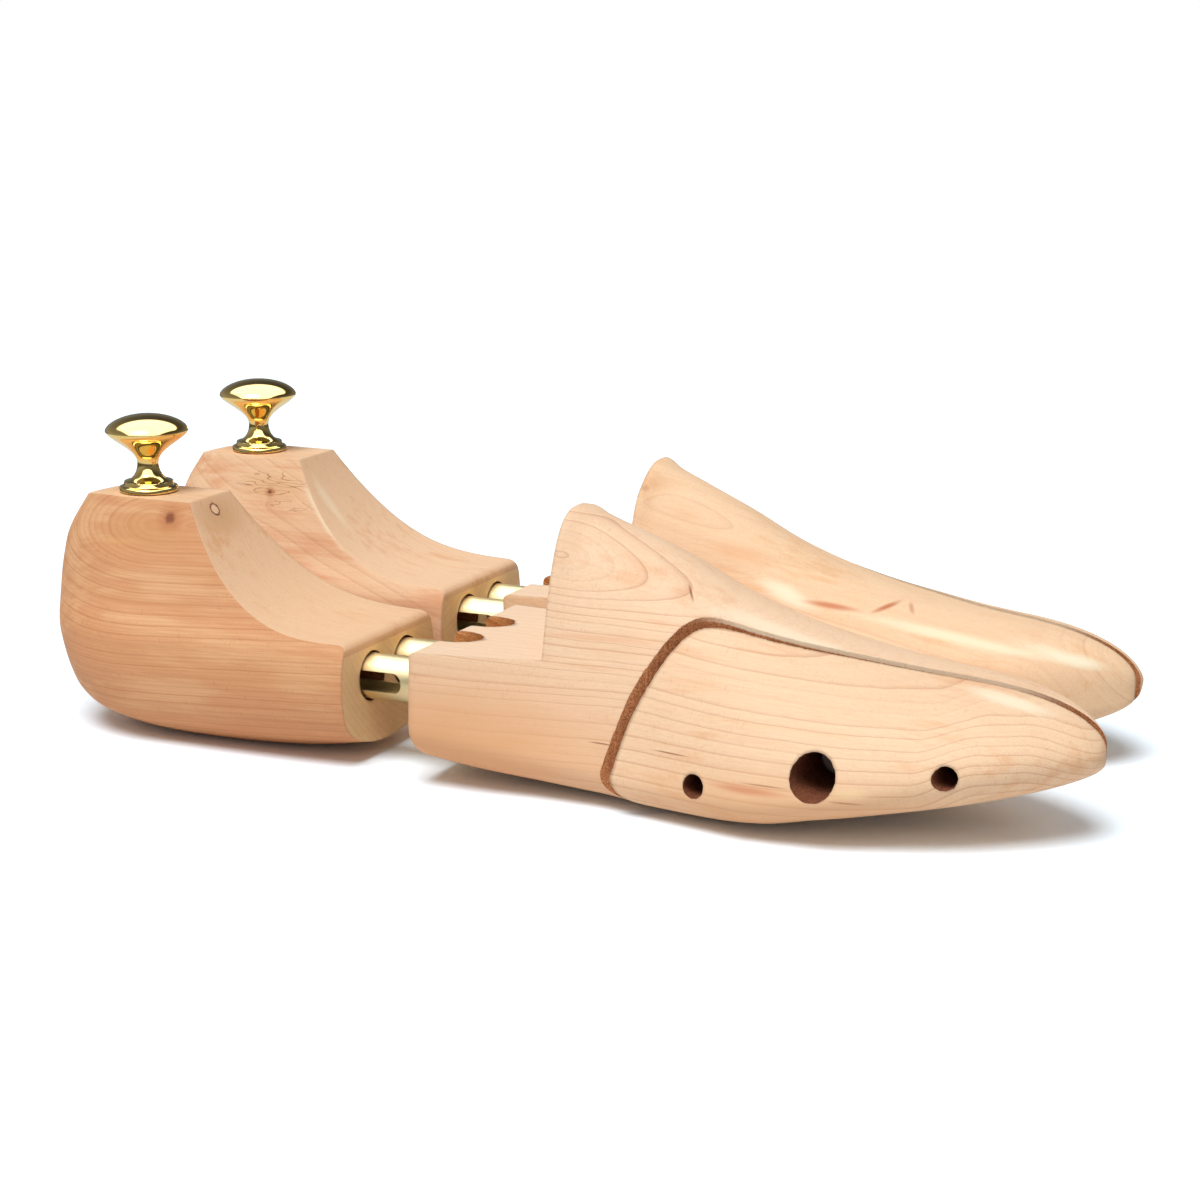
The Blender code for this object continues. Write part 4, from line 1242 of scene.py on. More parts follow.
@dataclass(frozen=True)
class SplitToe:
    """The forepart: its main body, and the side piece beyond the saw cut."""

    rear: float = 99.3 * MM
    toe: float = 279.0 * MM
    block_height: float = 37.5 * MM
    block_corner: float = 3.0 * MM
    step_at: float = 135.8 * MM
    ridge: float = 75.8 * MM
    peak: float = 1.0 * MM
    peak_height: float = 75.0 * MM
    peak_curve: float = 30.0
    peak_middle: float = -1.0 * MM
    peak_run: float = 9.0 * MM
    peak_blend: float = 1.0 * MM
    lateral: float = 37.5 * MM
    medial: float = 34.0 * MM
    toe_height: float = 23.3 * MM
    toe_rounding: float = 33.5 * MM
    toe_twist_power: float = 0.4
    kerf: float = 1.8 * MM
    swing: float = 1.6 * MM
    spread: float = 1.0 * MM
    saw_steps: int = 330
    saw_chatter: float = 0.075 * MM
    room_radius: float = 7.0 * MM
    room_tilt: float = 13.6
    room_tear: float = 0.02 * MM
    notch_radius: float = 6.2 * MM
    notch_low: tuple[float, float] = (111.7 * MM, 27.4 * MM)
    notch_high: tuple[float, float] = (93.7 * MM, 48.8 * MM)
    notch_tear: float = 0.12 * MM
    corner_steps: int = 7
    body_steps: int = 104
    tip_steps: int = 22
    tip_from: float = 0.94
    ring_steps: int = 240
    under_power: float = 0.8
    around: int = 220
    sections: Rows = (
        (0.000, 0.83, 0.94, 5.0, 18.0, 1.320, 0.12, 6.0, 0.0, 0.0),
        (0.090, 0.82, 0.94, 3.0, 16.0, 1.175, 0.28, 6.5, 0.0, 0.0),
        (0.203, 0.76, 0.918, 1.2, 13.0, 1.001, 0.45, 5.9, -0.5, 0.0),
        (0.235, 0.755, 0.918, 0.8, 12.4, 0.958, 0.47, 4.8, -0.2, 0.0),
        (0.285, 0.755, 0.915, 0.3, 11.5, 0.910, 0.44, 4.4, 1.0, 0.0),
        (0.365, 0.81, 0.945, -0.4, 10.5, 0.829, 0.37, 3.8, 3.0, 0.0),
        (0.450, 0.90, 0.985, -0.5, 11.0, 0.722, 0.31, 3.5, 4.4, 0.0),
        (0.560, 1.00, 1.00, 1.0, 12.0, 0.625, 0.24, 3.1, 6.1, 0.3),
        (0.645, 0.995, 0.985, 4.4, 14.0, 0.577, 0.18, 2.8, 6.4, 0.8),
        (0.755, 0.865, 0.90, 7.8, 18.0, 0.532, 0.12, 2.5, 5.8, 1.8),
        (0.866, 0.69, 0.74, 11.9, 22.5, 0.506, 0.08, 2.4, 5.4, 3.8),
        (1.000, 0.44, 0.50, 15.4, 25.5, 0.496, 0.05, 2.4, 3.8, 5.8),
    )
    route: Rows = (
        (0.265, 34.0), (0.308, 28.7), (0.345, 24.2), (0.368, 21.6), (0.386, 18.8),
        (0.406, 15.2), (0.427, 12.0), (0.455, 10.0), (0.510, 8.4), (0.636, 3.6),
        (0.774, -0.8), (0.900, -2.8), (1.060, -4.5),
    )

    @property
    def length(self) -> float:
        """Length from the rear face to the tip of the toe."""
        return self.toe - self.rear

    def section(self, share: float) -> tuple[float, ...]:
        """Sizes of the cross section at a share of the length."""
        row = smooth_row(self.sections, share)
        lateral = row[0] * self.lateral
        medial = row[1] * self.medial
        low = row[2] * MM
        waist = row[3] * MM
        high = row[4] * self.ridge
        crest = row[7] * MM
        sag = row[8] * MM
        x = self.rear + share * self.length
        into_toe = (x - (self.toe - self.toe_rounding)) / self.toe_rounding
        if into_toe > 0.0:
            shrink = math.sqrt(max(0.0, 1.0 - into_toe**2))
            lateral *= shrink
            medial *= shrink
            low = self.toe_height + (low - self.toe_height) * shrink
            waist = self.toe_height + (waist - self.toe_height) * shrink
            high = self.toe_height + (high - self.toe_height) * shrink
            crest *= shrink**self.toe_twist_power
            sag *= shrink**self.toe_twist_power
        return lateral, medial, low, waist, high, row[5], row[6], crest, sag

    def ring(self, share: float, inset: float = 0.0) -> np.ndarray:
        """One upright cross section, at a share of the length."""
        lateral, medial, low, waist, high, lean, square, crest, sag = self.section(share)
        edge = 1.0 - 0.5 * min(max((square - 3.0) / 4.5, 0.0), 1.0) ** 1.5
        half = (lateral + medial) / 2.0 - inset
        middle = (medial - lateral) / 2.0
        low += inset
        angle = math.radians(90.0) * np.linspace(0.0, 1.0, self.ring_steps) ** 1.5
        up = np.sin(angle) ** (2.0 / square)
        out = np.maximum(np.cos(angle), 0.0) ** edge * (1.0 - lean * up) * half
        z_up = waist + (high - waist) * up
        aside = crest * up**1.5
        angle = math.radians(90.0) * np.linspace(0.0, 1.0, self.ring_steps // 2)[1:]
        down = np.sin(angle) ** self.under_power
        under = np.maximum(np.cos(angle), 0.0) ** self.under_power * half
        z_down = waist + (low - waist) * down
        y = np.concatenate([middle + under[::-1], middle + aside + out,
                            (middle + aside - out)[-2::-1], middle - under[:-1]])
        z = np.concatenate([z_down[::-1], z_up, z_up[-2::-1], z_down[:-1]])
        across = 0.5 + 0.5 * np.clip((y - middle) / half, -1.0, 1.0)
        above = np.maximum(z - waist, 0.0) / (high - waist)
        z = z - across * (1.0 - above) * sag
        at = self.rear + share * self.length
        z = self.round_peak(y, z, at)
        return even_ring(np.column_stack([np.full(len(y), at), y, z]), self.around)

    def round_peak(self, y: np.ndarray, z: np.ndarray, at: float) -> np.ndarray:
        """Heights of a cross section near the step, with the peak rounded from side to side."""
        near = 1.0 - min(max((at - self.step_at) / self.peak_run, 0.0), 1.0)
        if near == 0.0:
            return z
        cap = self.peak_height - self.peak_curve * near * (y - self.peak_middle) ** 2
        blend = np.clip(1.0 - np.abs(z - cap) / self.peak_blend, 0.0, 1.0)
        return np.minimum(z, cap) - blend**2 * self.peak_blend / 4.0

    def loft(self) -> bmesh.types.BMesh:
        """The whole forepart before any cut."""
        rings = []
        ease = self.block_corner
        for k in range(self.corner_steps):
            turn = math.radians(90.0) * k / self.corner_steps
            depth = ease * (1.0 - math.cos(turn))
            inset = 0.8 * ease * (1.0 - math.sin(turn))
            rings.append(self.ring(depth / self.length, inset))
        shares = list(np.linspace(ease / self.length, self.tip_from, self.body_steps))
        shares += [1.0 - (1.0 - self.tip_from) * (1.0 - k / self.tip_steps) ** 2
                   for k in range(1, self.tip_steps)]
        rings += [self.ring(share) for share in shares]
        return ring_loft(rings)

    def side_outline(self) -> tuple[Outline, list[int]]:
        """Side view of the main body, and the slot of the wall after each point."""
        top = self.ridge + BEYOND
        ahead = self.toe + BEYOND
        run = 2.0 * self.peak
        ridge = self.section((self.step_at - self.rear) / self.length)[4]
        later = self.section((self.step_at + run - self.rear) / self.length)[4]
        tilt = math.atan((ridge - later) / run)
        drop = self.peak * (1.0 + math.sin(tilt)) / math.cos(tilt)
        centre = (self.step_at + self.peak, ridge - drop)
        points = [(ahead, 0.0), (ahead, top), (centre[0] + self.peak * math.sin(tilt), top)]
        slots = [Face.SHAPED] * 3
        quarter = math.radians(90.0)
        steps = 20
        points += arc(centre, self.peak, quarter - tilt, quarter + tilt, steps)
        slots += [Face.SHAPED] * steps + [Face.END]
        points.append((self.step_at, self.block_height))
        slots.append(Face.TOP)
        steps = 12
        corner = self.block_corner
        points += arc((self.rear + corner, self.block_height - corner), corner, quarter,
                      quarter, steps)
        slots += [Face.TOP] * steps + [Face.END]
        points.append((self.rear, 0.0))
        slots.append(Face.SHAPED)
        return points, slots

    def cut_at(self, x: float) -> float:
        """Sideways place of the saw cut's inner face at a distance along the tree."""
        return -smooth_row(self.route, (x - self.rear) / self.length)[0] * MM

    def cut_plan(self, offset: float, ahead: float, seed: int) -> bmesh.types.BMesh:
        """Everything outside one face of the saw cut, with the face left uneven by the saw.

        Args:
            offset: How far the face lies outside the inner face.
            ahead: How far it lies ahead of it.
            seed: Seed of the unevenness.

        Returns:
            The solid outside the cut.
        """
        outside = -2.0 * self.lateral
        start = self.rear + self.route[0][0] * self.length
        end = self.rear + self.route[-1][0] * self.length
        chance = np.random.default_rng(seed)
        chatter = chance.normal(0.0, self.saw_chatter, self.saw_steps)
        points = []
        for x, stray in zip(np.linspace(start, end, self.saw_steps), chatter):
            points.append((float(x) + ahead, self.cut_at(float(x)) - offset + stray))
        points += [(points[-1][0], outside), (points[0][0], outside)]
        return prism(points, 4.0 * self.ridge, [Face.SAWN] * len(points), False)

    def tube_room(self, y: float, tubes: TubePair, seed: int) -> bmesh.types.BMesh:
        """Room for a tube at rest, tilted and between, with a torn rim."""
        play = math.tan(math.radians(self.room_tilt))
        chance = np.random.default_rng(seed)
        rings = []
        half = 40
        radii = self.room_radius + self.room_tear * chance.normal(0.0, 1.0, 2 * half)
        for x in (self.rear - BEYOND, tubes.pivot, tubes.front + 1.0 * MM):
            shift = (tubes.pivot - x) * play
            ring = []
            for k, radius in enumerate(radii):
                angle = math.pi * (k + 0.5) / half
                lift = max(shift, 0.0) if k < half else min(shift, 0.0)
                ring.append((x, y + radius * math.cos(angle),
                             tubes.height + lift + radius * math.sin(angle)))
            rings.append(np.array(ring))
        return painted(ring_loft(rings), Face.TORN)

    def notch(self, y: float, seed: int) -> Step:
        """The steep cut that breaks the top open above a tilted tube."""
        low, high = self.notch_low, self.notch_high
        return drill(self.notch_radius, (low[0], y, low[1]), (high[0], y, high[1]), Face.TORN,
                     56, self.notch_tear, seed)


@dataclass(frozen=True)
class CoilSpring:
    """A coil spring made by Geometry Nodes: a spiral swept by a round wire.

    The radius is that of the wire's middle line, and the wire's size is its full thickness.
    """

    radius: float
    wire: float
    length: float
    curls: float
    turn_steps: int = 28
    wire_sides: int = 12

    def tree(self) -> bpy.types.NodeTree:
        """The node tree, with its sizes as named inputs."""
        tree = bpy.data.node_groups.new("coil_spring", "GeometryNodeTree")
        face = tree.interface
        for name, value in (("Coil Radius", self.radius), ("Wire Radius", self.wire / 2.0),
                            ("Rise", self.length - self.wire), ("Curls", self.curls)):
            socket = face.new_socket(name, in_out="INPUT", socket_type="NodeSocketFloat")
            socket.default_value = value
        face.new_socket("Material", in_out="INPUT", socket_type="NodeSocketMaterial")
        face.new_socket("Geometry", in_out="OUTPUT", socket_type="NodeSocketGeometry")
        start, spiral, wire, sweep, smooth, real, look, end = [
            tree.nodes.new(kind) for kind in (
                "NodeGroupInput", "GeometryNodeCurveSpiral", "GeometryNodeCurvePrimitiveCircle",
                "GeometryNodeCurveToMesh", "GeometryNodeSetShadeSmooth",
                "GeometryNodeRealizeInstances", "GeometryNodeSetMaterial", "NodeGroupOutput")]
        spiral.inputs["Resolution"].default_value = self.turn_steps
        wire.inputs["Resolution"].default_value = self.wire_sides
        sweep.inputs["Fill Caps"].default_value = True
        for source, output, target, name in (
                (start, "Curls", spiral, "Rotations"),
                (start, "Coil Radius", spiral, "Start Radius"),
                (start, "Coil Radius", spiral, "End Radius"),
                (start, "Rise", spiral, "Height"), (start, "Wire Radius", wire, "Radius"),
                (spiral, "Curve", sweep, "Curve"), (wire, "Curve", sweep, "Profile Curve"),
                (sweep, "Mesh", smooth, 0), (smooth, 0, real, 0), (real, 0, look, "Geometry"),
                (start, "Material", look, "Material"), (look, 0, end, 0)):
            tree.links.new(source.outputs[output], target.inputs[name])
        return tree

    def mesh(self, material: bpy.types.Material) -> bpy.types.Mesh:
        """The spring along +Z from its first end at the origin."""
        holder = placed_item("coil", bpy.data.meshes.new("coil"))
        modifier = holder.modifiers.new("coil", "NODES")
        modifier.node_group = self.tree()
        for socket in modifier.node_group.interface.items_tree:
            if socket.in_out == "INPUT" and socket.name == "Material":
                modifier[socket.identifier] = material
        mesh = evaluated(holder)
        mesh.transform(Matrix.Translation((0.0, 0.0, self.wire / 2.0)))
        bpy.data.objects.remove(holder, do_unlink=True)
        return mesh


@dataclass(frozen=True)
class SpreadGear:
    """Pins, bolt and spring that carry the side piece, and their holes."""

    travel: float = 2.3 * MM
    rear_at: float = 183.4 * MM
    rear_height: float = 12.6 * MM
    front_at: float = 246.8 * MM
    front_height: float = 21.0 * MM
    hole_radius: float = 3.05 * MM
    pin_radius: float = 2.5 * MM
    pin_in_main: float = 14.0 * MM
    pin_in_side: float = 12.0 * MM
    bolt_at: float = 215.4 * MM
    bolt_height: float = 19.2 * MM
    bolt_radius: float = 2.0 * MM
    bolt_play: float = 0.4 * MM
    bolt_in_main: float = 22.0 * MM
    head_radius: float = 4.3 * MM
    head_height: float = 3.2 * MM
    socket_radius: float = 2.2 * MM
    socket_depth: float = 1.8 * MM
    seat_wall: float = 8.0 * MM
    counterbore: float = 5.9 * MM
    pocket_radius: float = 4.5 * MM
    pocket_depth: float = 8.0 * MM
    seat_depth: float = 1.5 * MM
    spring_radius: float = 3.5 * MM
    spring_wire: float = 0.8 * MM
    spring_curls: float = 3.5
    fit: float = 0.15 * MM
    gap: float = 0.3 * MM
    guide_fray: float = 0.07 * MM
    bolt_fray: float = 0.08 * MM
    ease: float = 0.3 * MM

    @property
    def guides(self) -> tuple[tuple[str, float, float], ...]:
        """Name, place along the tree and height of each guide pin."""
        return (("rear", self.rear_at, self.rear_height),
                ("front", self.front_at, self.front_height))

    def main_cuts(self, toe: SplitToe) -> list[Step]:
        """Holes in the main body, from the face of the saw cut inwards."""
        x, z = self.bolt_at, self.bolt_height
        holes = [(self.pin_radius + self.fit, *guide[1:], self.pin_in_main + self.fit)
                 for guide in self.guides]
        holes += [(self.bolt_radius + self.fit, x, z, self.bolt_in_main + self.fit),
                  (self.pocket_radius, x, z, self.pocket_depth)]
        return [drill(radius, (x, toe.cut_at(x) - BEYOND, z), (x, toe.cut_at(x) + depth, z),
                      Face.DRILLED)
                for radius, x, z, depth in holes]

    def side_cuts(self, toe: SplitToe) -> list[Step]:
        """Holes in the side piece."""
        beyond = -toe.lateral - BEYOND
        cuts = []
        for index, (_, x, z) in enumerate(self.guides):
            cuts.append(drill(self.hole_radius, (x, beyond, z), (x, toe.cut_at(x) + BEYOND, z),
                              Face.DRILLED, 64, self.guide_fray, 31 + index))
        x, z = self.bolt_at, self.bolt_height
        face = toe.cut_at(x)
        seat = face - toe.kerf - self.seat_wall
        cuts.append(drill(self.counterbore, (x, beyond, z), (x, seat, z), Face.DRILLED, 96,
                          self.bolt_fray, 41))
        for radius, start in ((self.bolt_radius + self.bolt_play, seat - BEYOND),
                              (self.pocket_radius, face - toe.kerf - self.seat_depth)):
            cuts.append(drill(radius, (x, start, z), (x, face + BEYOND, z), Face.DRILLED))
        return cuts

    def pins(self, toe: SplitToe) -> dict[str, bpy.types.Mesh]:
        """The two guide pins in the tree's frame."""
        made = {}
        for name, x, z in self.guides:
            face = toe.cut_at(x)
            outer = face - toe.kerf - toe.spread - self.pin_in_side
            made[name] = plain_mesh(rod(self.pin_radius, (x, outer, z),
                                        (x, face + self.pin_in_main, z), 0.4 * MM), 30.0)
        return made

    def bolt(self, toe: SplitToe, bench: Workbench) -> bpy.types.Mesh:
        """The bolt, with a hexagonal socket in its head, in the tree's frame."""
        face = toe.cut_at(self.bolt_at)
        seat = face - toe.kerf - self.seat_wall
        inner = seat - toe.spread - self.gap
        outer = inner - self.head_height
        end = face + self.bolt_in_main
        ease = self.ease
        body = turned([(0.0, outer), (self.head_radius - ease, outer),
                       (self.head_radius, outer + ease), (self.head_radius, inner - 0.1 * MM),
                       (self.head_radius - 0.1 * MM, inner), (self.bolt_radius, inner),
                       (self.bolt_radius, end - 0.4 * MM), (self.bolt_radius - 0.4 * MM, end),
                       (0.0, end)], 72)
        hexagon = arc((0.0, 0.0), self.socket_radius, 0.0, math.radians(300.0), 5)
        key = prism(hexagon, 2.0 * self.socket_depth, [0] * 6, False)
        bmesh.ops.translate(key, vec=(0.0, 0.0, outer), verts=key.verts)
        mesh = bench.carve(body, [("DIFFERENCE", key)])
        matrix = (Matrix.Translation((self.bolt_at, 0.0, self.bolt_height))
                  @ Matrix.Rotation(math.radians(-90), 4, "X"))
        mesh.transform(matrix)
        bench.soften(mesh, 30.0)
        return mesh

    def spring(self, toe: SplitToe, material: bpy.types.Material) -> bpy.types.Mesh:
        """The spring round the bolt, from the main body's pocket to the side piece's."""
        length = (self.pocket_depth + toe.kerf + toe.spread + self.seat_depth
                  - 2.0 * self.gap)
        mesh = CoilSpring(self.spring_radius, self.spring_wire, length,
                          self.spring_curls).mesh(material)
        start = (self.bolt_at, toe.cut_at(self.bolt_at) + self.pocket_depth - self.gap,
                 self.bolt_height)
        mesh.transform(Matrix.Translation(start) @ Matrix.Rotation(math.radians(90.0), 4, "X"))
        return mesh


def mark_depth(mesh: bpy.types.Mesh, slot: int, step: float) -> None:
    """Store on each point how far it lies below the upper edge of the face it is on.

    Args:
        mesh: The mesh to mark.
        slot: Material slot of the faces that count.
        step: How far apart, along x, the edge is looked up.
    """
    tops: dict[int, float] = {}
    for polygon in mesh.polygons:
        if polygon.material_index != slot:
            continue
        for index in polygon.vertices:
            point = mesh.vertices[index].co
            key = round(point.x / step)
            tops[key] = max(tops.get(key, 0.0), point.z)
    depth = mesh.attributes.new("depth", "FLOAT", "POINT")
    for vertex in mesh.vertices:
        top = tops.get(round(vertex.co.x / step), vertex.co.z)
        depth.data[vertex.index].value = max(top - vertex.co.z, 0.0)


# Finishes of the pieces


class Finishes:
    """Every material of the pair."""

    def __init__(self) -> None:
        """Make the metals; the woods are made for each tree."""
        self.metals = {
            "gold_brass": Brass("polished_gold_brass", srgb(251, 220, 142), srgb(246, 206, 120),
                                0.03, 0.02, (2.5, 2.5, 0.12), 0.000001).build(),
            "pale_brass": Brass("satin_pale_brass", srgb(232, 216, 170), srgb(220, 202, 148),
                                0.36, 0.03, (12.0, 0.15, 0.15)).build(),
            "steel": Brass("bright_steel", srgb(196, 196, 198), srgb(150, 150, 152),
                           0.28, 0.1, (0.3, 0.3, 0.3)).build(),
        }

    @staticmethod
    def wood(stand: Stand, piece: str, side: CedarFigure,
             top: CedarFigure) -> list[bpy.types.Material]:
        """The six materials of a wooden piece, in the order of its faces."""
        label = f"{stand.side.value}_{piece}"
        base = stand.base
        hand = stand.side.hand
        return [
            Cedar(f"{label}_shaped", side, base, hand).build(),
            Cedar(f"{label}_top", top, base, hand).build(),
            Cedar(f"{label}_end", END_FIGURE, base, hand, 0.7).build(),
            # Sawn faces: a strip of painted light, 1.1 mm deep, along their upper edge.
            CutCedar(f"{label}_sawn", base, hand, srgb(228, 158, 106), srgb(140, 76, 46),
                     (0.5, 0.5, 0.5), 0.0002, 0.0011).build(),
            CutCedar(f"{label}_torn", base, hand, srgb(240, 176, 120), srgb(172, 106, 66),
                     (1.4, 0.3, 0.4), 0.0003).build(),
            # Drilled walls: painted much darker than the other cut faces, as painted shade
            # inside the holes.
            CutCedar(f"{label}_drilled", base, hand, srgb(156, 96, 66), srgb(96, 52, 38),
                     (0.5, 0.5, 0.5), 0.0002).build(),
        ]


NEAR_HEEL_SIDE = CedarFigure(
    centre=(14.0, 0.0, 61.5), climb=0.05, across=0.1, spacing=2.7, rear_close=0.5,
    front_close=0.12, close_run=200.0, soft_turn=5.0, waver=0.5, uneven=1.6,
    line_strength=0.55, fine_strength=0.2, warm_share=0.85, fleck_strength=0.24, seed=3.2,
    tones=CedarTones(pale=srgb(233, 182, 135), warm=srgb(222, 163, 117)),
    knots=(Knot((15.1, -12.3, 63.2), (5.0, 12.0, 3.4), 1.8, 1.9),),
    marks=(
        Mark((9.0, -14.0, 59.0), (20.0, 14.0, 6.0), srgb(212, 156, 98), 0.4),
        Mark((-2.0, -14.0, 55.6), (12.0, 14.0, 1.6), srgb(222, 166, 108), 0.4),
        Mark((40.0, -27.0, 8.0), (60.0, 20.0, 7.0), srgb(220, 152, 104), 0.3),
    ),
)
NEAR_HEEL_TOP = CedarFigure(
    centre=(20.0, 42.0, 40.0), across=1.0, spacing=1.15, waver=0.5, line_strength=0.2,
    fine_strength=0.1, warm_share=0.35, seed=5.1,
    tones=CedarTones(pale=srgb(250, 212, 172), warm=srgb(240, 190, 144)),
    knots=(Knot((22.6, -0.8, 64.3), (4.0, 4.0, 6.0), 1.4, 1.75, True),),
    marks=(
        Mark((24.0, 0.0, 62.0), (9.0, 14.0, 9.0), srgb(214, 166, 116), 0.55),
        Mark((-2.0, 0.0, 67.0), (16.0, 14.0, 2.0), srgb(236, 186, 142), 0.6),
    ),
)
END_FIGURE = CedarFigure(
    centre=(80.0, 34.0, 64.0), across=1.0, spacing=1.9, waver=0.8, line_strength=0.4,
    warm_share=0.6, seed=8.3,
    tones=CedarTones(pale=srgb(255, 226, 178), warm=srgb(250, 212, 158),
                     end=srgb(238, 196, 144)),
)
FAR_HEEL_SIDE = CedarFigure(
    centre=(20.0, 10.0, 75.0), climb=-0.42, across=0.4, spacing=4.2, waver=3.4,
    line_strength=0.22, fine_strength=0.06, warm_share=0.6, seed=11.0,
    tones=CedarTones(pale=srgb(250, 212, 172), warm=srgb(238, 182, 140)),
    knots=(Knot((12.4, 14.6, 57.8), (7.0, 8.0, 3.6), 5.0, 0.8),),
    burls=(Burl((13.0, 14.0, 60.0), (15.0, 10.0, 4.6), (6.4, 4.0, 1.3), 0.7),
           Burl((19.0, 13.0, 54.0), (10.0, 9.0, 3.6), (5.0, 4.0, 1.2), 0.45)),
    marks=(
        Mark((34.0, 14.5, 50.5), (19.0, 11.0, 2.4), srgb(255, 238, 204), 1.0,
             (0.0, 46.0, 0.0)),
        Mark((13.0, 14.0, 59.0), (15.0, 9.0, 6.0), srgb(226, 178, 126), 0.5),
        Mark((10.0, 16.0, 45.0), (22.0, 12.0, 3.4), srgb(226, 160, 118), 0.5,
             (0.0, 24.0, 0.0)),
        Mark((40.0, 22.0, 30.0), (20.0, 12.0, 5.0), srgb(206, 136, 98), 0.6,
             (0.0, 20.0, 0.0)),
        Mark((62.0, 24.0, 22.0), (20.0, 12.0, 10.0), srgb(190, 118, 84), 0.75),
    ),
)
FAR_HEEL_TOP = CedarFigure(
    centre=(20.0, 40.0, 36.0), across=1.0, spacing=1.3, waver=0.8, line_strength=0.2,
    fine_strength=0.08, warm_share=0.35, seed=13.7,
    tones=CedarTones(pale=srgb(252, 216, 178), warm=srgb(242, 194, 152)),
    marks=(
        Mark((30.0, 8.0, 55.0), (14.0, 3.4, 12.0), srgb(254, 232, 198), 0.7),
        Mark((-2.0, 0.0, 67.0), (18.0, 14.0, 2.0), srgb(236, 184, 142), 0.6),
    ),
)
NEAR_FORE_SIDE = CedarFigure(
    centre=(137.0, -10.0, 64.0), climb=-0.24, level_below=26.0, climb_above=62.0,
    across=0.16, spacing=2.1, offset=0.3, front_close=0.8, close_run=20.0, soft_turn=7.0,
    waver=0.8, uneven=2.0, line_strength=0.5, fine_strength=0.05, warm_share=0.4,
    fleck_strength=0.16, fade_start=166.0, fade_end=190.0, seed=21.0,
    tones=CedarTones(pale=srgb(253, 219, 184), warm=srgb(246, 202, 162)),
    marks=(
        Mark((108.0, -26.0, 12.0), (76.0, 26.0, 30.0), srgb(230, 172, 124), 0.9),
        Mark((154.5, -27.0, 18.2), (5.0, 3.0, 0.3), srgb(146, 76, 48), 0.75, edge=0.3),
        Mark((170.6, -8.5, 56.4), (4.6, 3.4, 0.36), srgb(136, 70, 42), 0.85,
             (0.0, 54.0, 0.0), 0.2, 0.3),
        Mark((150.0, -20.0, 44.0), (26.0, 8.0, 1.2), srgb(232, 172, 128), 0.45),
        Mark((200.0, -6.0, 46.0), (60.0, 6.0, 3.0), srgb(254, 236, 206), 0.7,
             (0.0, 14.0, 0.0)),
    ),
)
FORE_TOP = CedarFigure(
    centre=(100.0, 44.0, 20.0), across=1.0, spacing=3.2, waver=1.0, line_strength=0.14,
    fine_strength=0.06, warm_share=0.2, seed=24.0,
    tones=CedarTones(pale=srgb(255, 227, 196), warm=srgb(250, 214, 180)),
)
NEAR_TOE_SIDE = CedarFigure(
    centre=(172.0, -14.0, 54.5), climb=-0.26, level_below=18.0, climb_above=52.0,
    across=0.14, spacing=3.2, offset=0.55, front_close=0.3, close_run=70.0, soft_turn=7.0,
    waver=0.9, uneven=2.0, line_strength=0.5, fine_strength=0.05, warm_share=0.4,
    fleck_strength=0.14, seed=31.0,
    tones=CedarTones(pale=srgb(253, 219, 182), warm=srgb(246, 200, 157)),
    shifts=(Shift(238.0, 254.0, 6.5), Shift(262.0, 288.0, -14.0)),
    marks=(
        Mark((176.0, -31.0, 19.4), (8.0, 4.0, 0.3), srgb(150, 80, 50), 0.75, edge=0.3),
        Mark((198.0, -12.1, 46.8), (4.0, 3.0, 0.3), srgb(140, 78, 48), 0.8,
             (0.0, 26.0, 0.0), 0.2, 0.3),
        Mark((225.2, -36.3, 16.2), (7.0, 6.0, 2.2), srgb(254, 226, 182), 0.85),
        Mark((224.0, -36.0, 14.0), (6.0, 5.0, 0.4), srgb(128, 66, 42), 0.8, (0.0, 4.0, 0.0)),
        Mark((215.0, -38.0, 9.0), (76.0, 22.0, 14.0), srgb(234, 178, 128), 0.6),
        Mark((198.3, -37.5, 14.4), (15.0, 6.0, 1.5), srgb(214, 136, 94), 0.7),
        Mark((203.0, -37.5, 16.0), (9.0, 6.0, 0.3), srgb(150, 76, 50), 0.6),
        Mark((256.2, -7.0, 36.4), (24.0, 5.0, 2.3), srgb(254, 238, 208), 0.95,
             (0.0, 12.0, 0.0), 0.25),
    ),
)
FAR_FORE_SIDE = CedarFigure(
    centre=(150.0, 8.0, 62.0), climb=-0.26, across=0.4, spacing=3.6, front_close=0.3,
    close_run=40.0, waver=2.2, line_strength=0.22, fine_strength=0.05, warm_share=0.4,
    seed=41.0, shifts=(Shift(252.0, 284.0, -22.0),),
    tones=CedarTones(pale=srgb(252, 217, 178), warm=srgb(245, 200, 154)),
    marks=(
        Mark((168.0, 17.0, 53.0), (14.0, 7.0, 3.0), srgb(236, 178, 130), 0.6,
             (0.0, 10.0, 0.0)),
        Mark((184.0, 22.5, 43.8), (13.0, 9.0, 3.0), srgb(254, 240, 208), 1.0,
             (0.0, 20.0, 0.0)),
        Mark((197.1, 23.3, 41.6), (11.0, 7.0, 1.1), srgb(204, 122, 76), 0.9, (0.0, 6.0, 0.0)),
        Mark((212.0, 18.0, 42.0), (6.5, 7.0, 0.9), srgb(192, 108, 66), 0.9,
             (0.0, -22.0, 0.0)),
        Mark((217.0, 18.0, 42.4), (4.0, 7.0, 0.7), srgb(192, 108, 66), 0.9,
             (0.0, 40.0, 0.0)),
        Mark((232.0, 21.0, 36.0), (40.0, 8.0, 1.8), srgb(254, 238, 204), 0.9,
             (0.0, 8.0, 0.0)),
        Mark((262.0, 15.0, 32.0), (22.0, 8.0, 2.2), srgb(254, 242, 212), 0.95,
             (0.0, 14.0, 0.0)),
        Mark((140.0, 12.0, 70.0), (12.0, 8.0, 4.0), srgb(234, 184, 140), 0.5),
    ),
    knots=(Knot((137.4, 14.4, 69.0), (5.0, 6.0, 3.0), 2.5, 0.7),),
)


# Studio


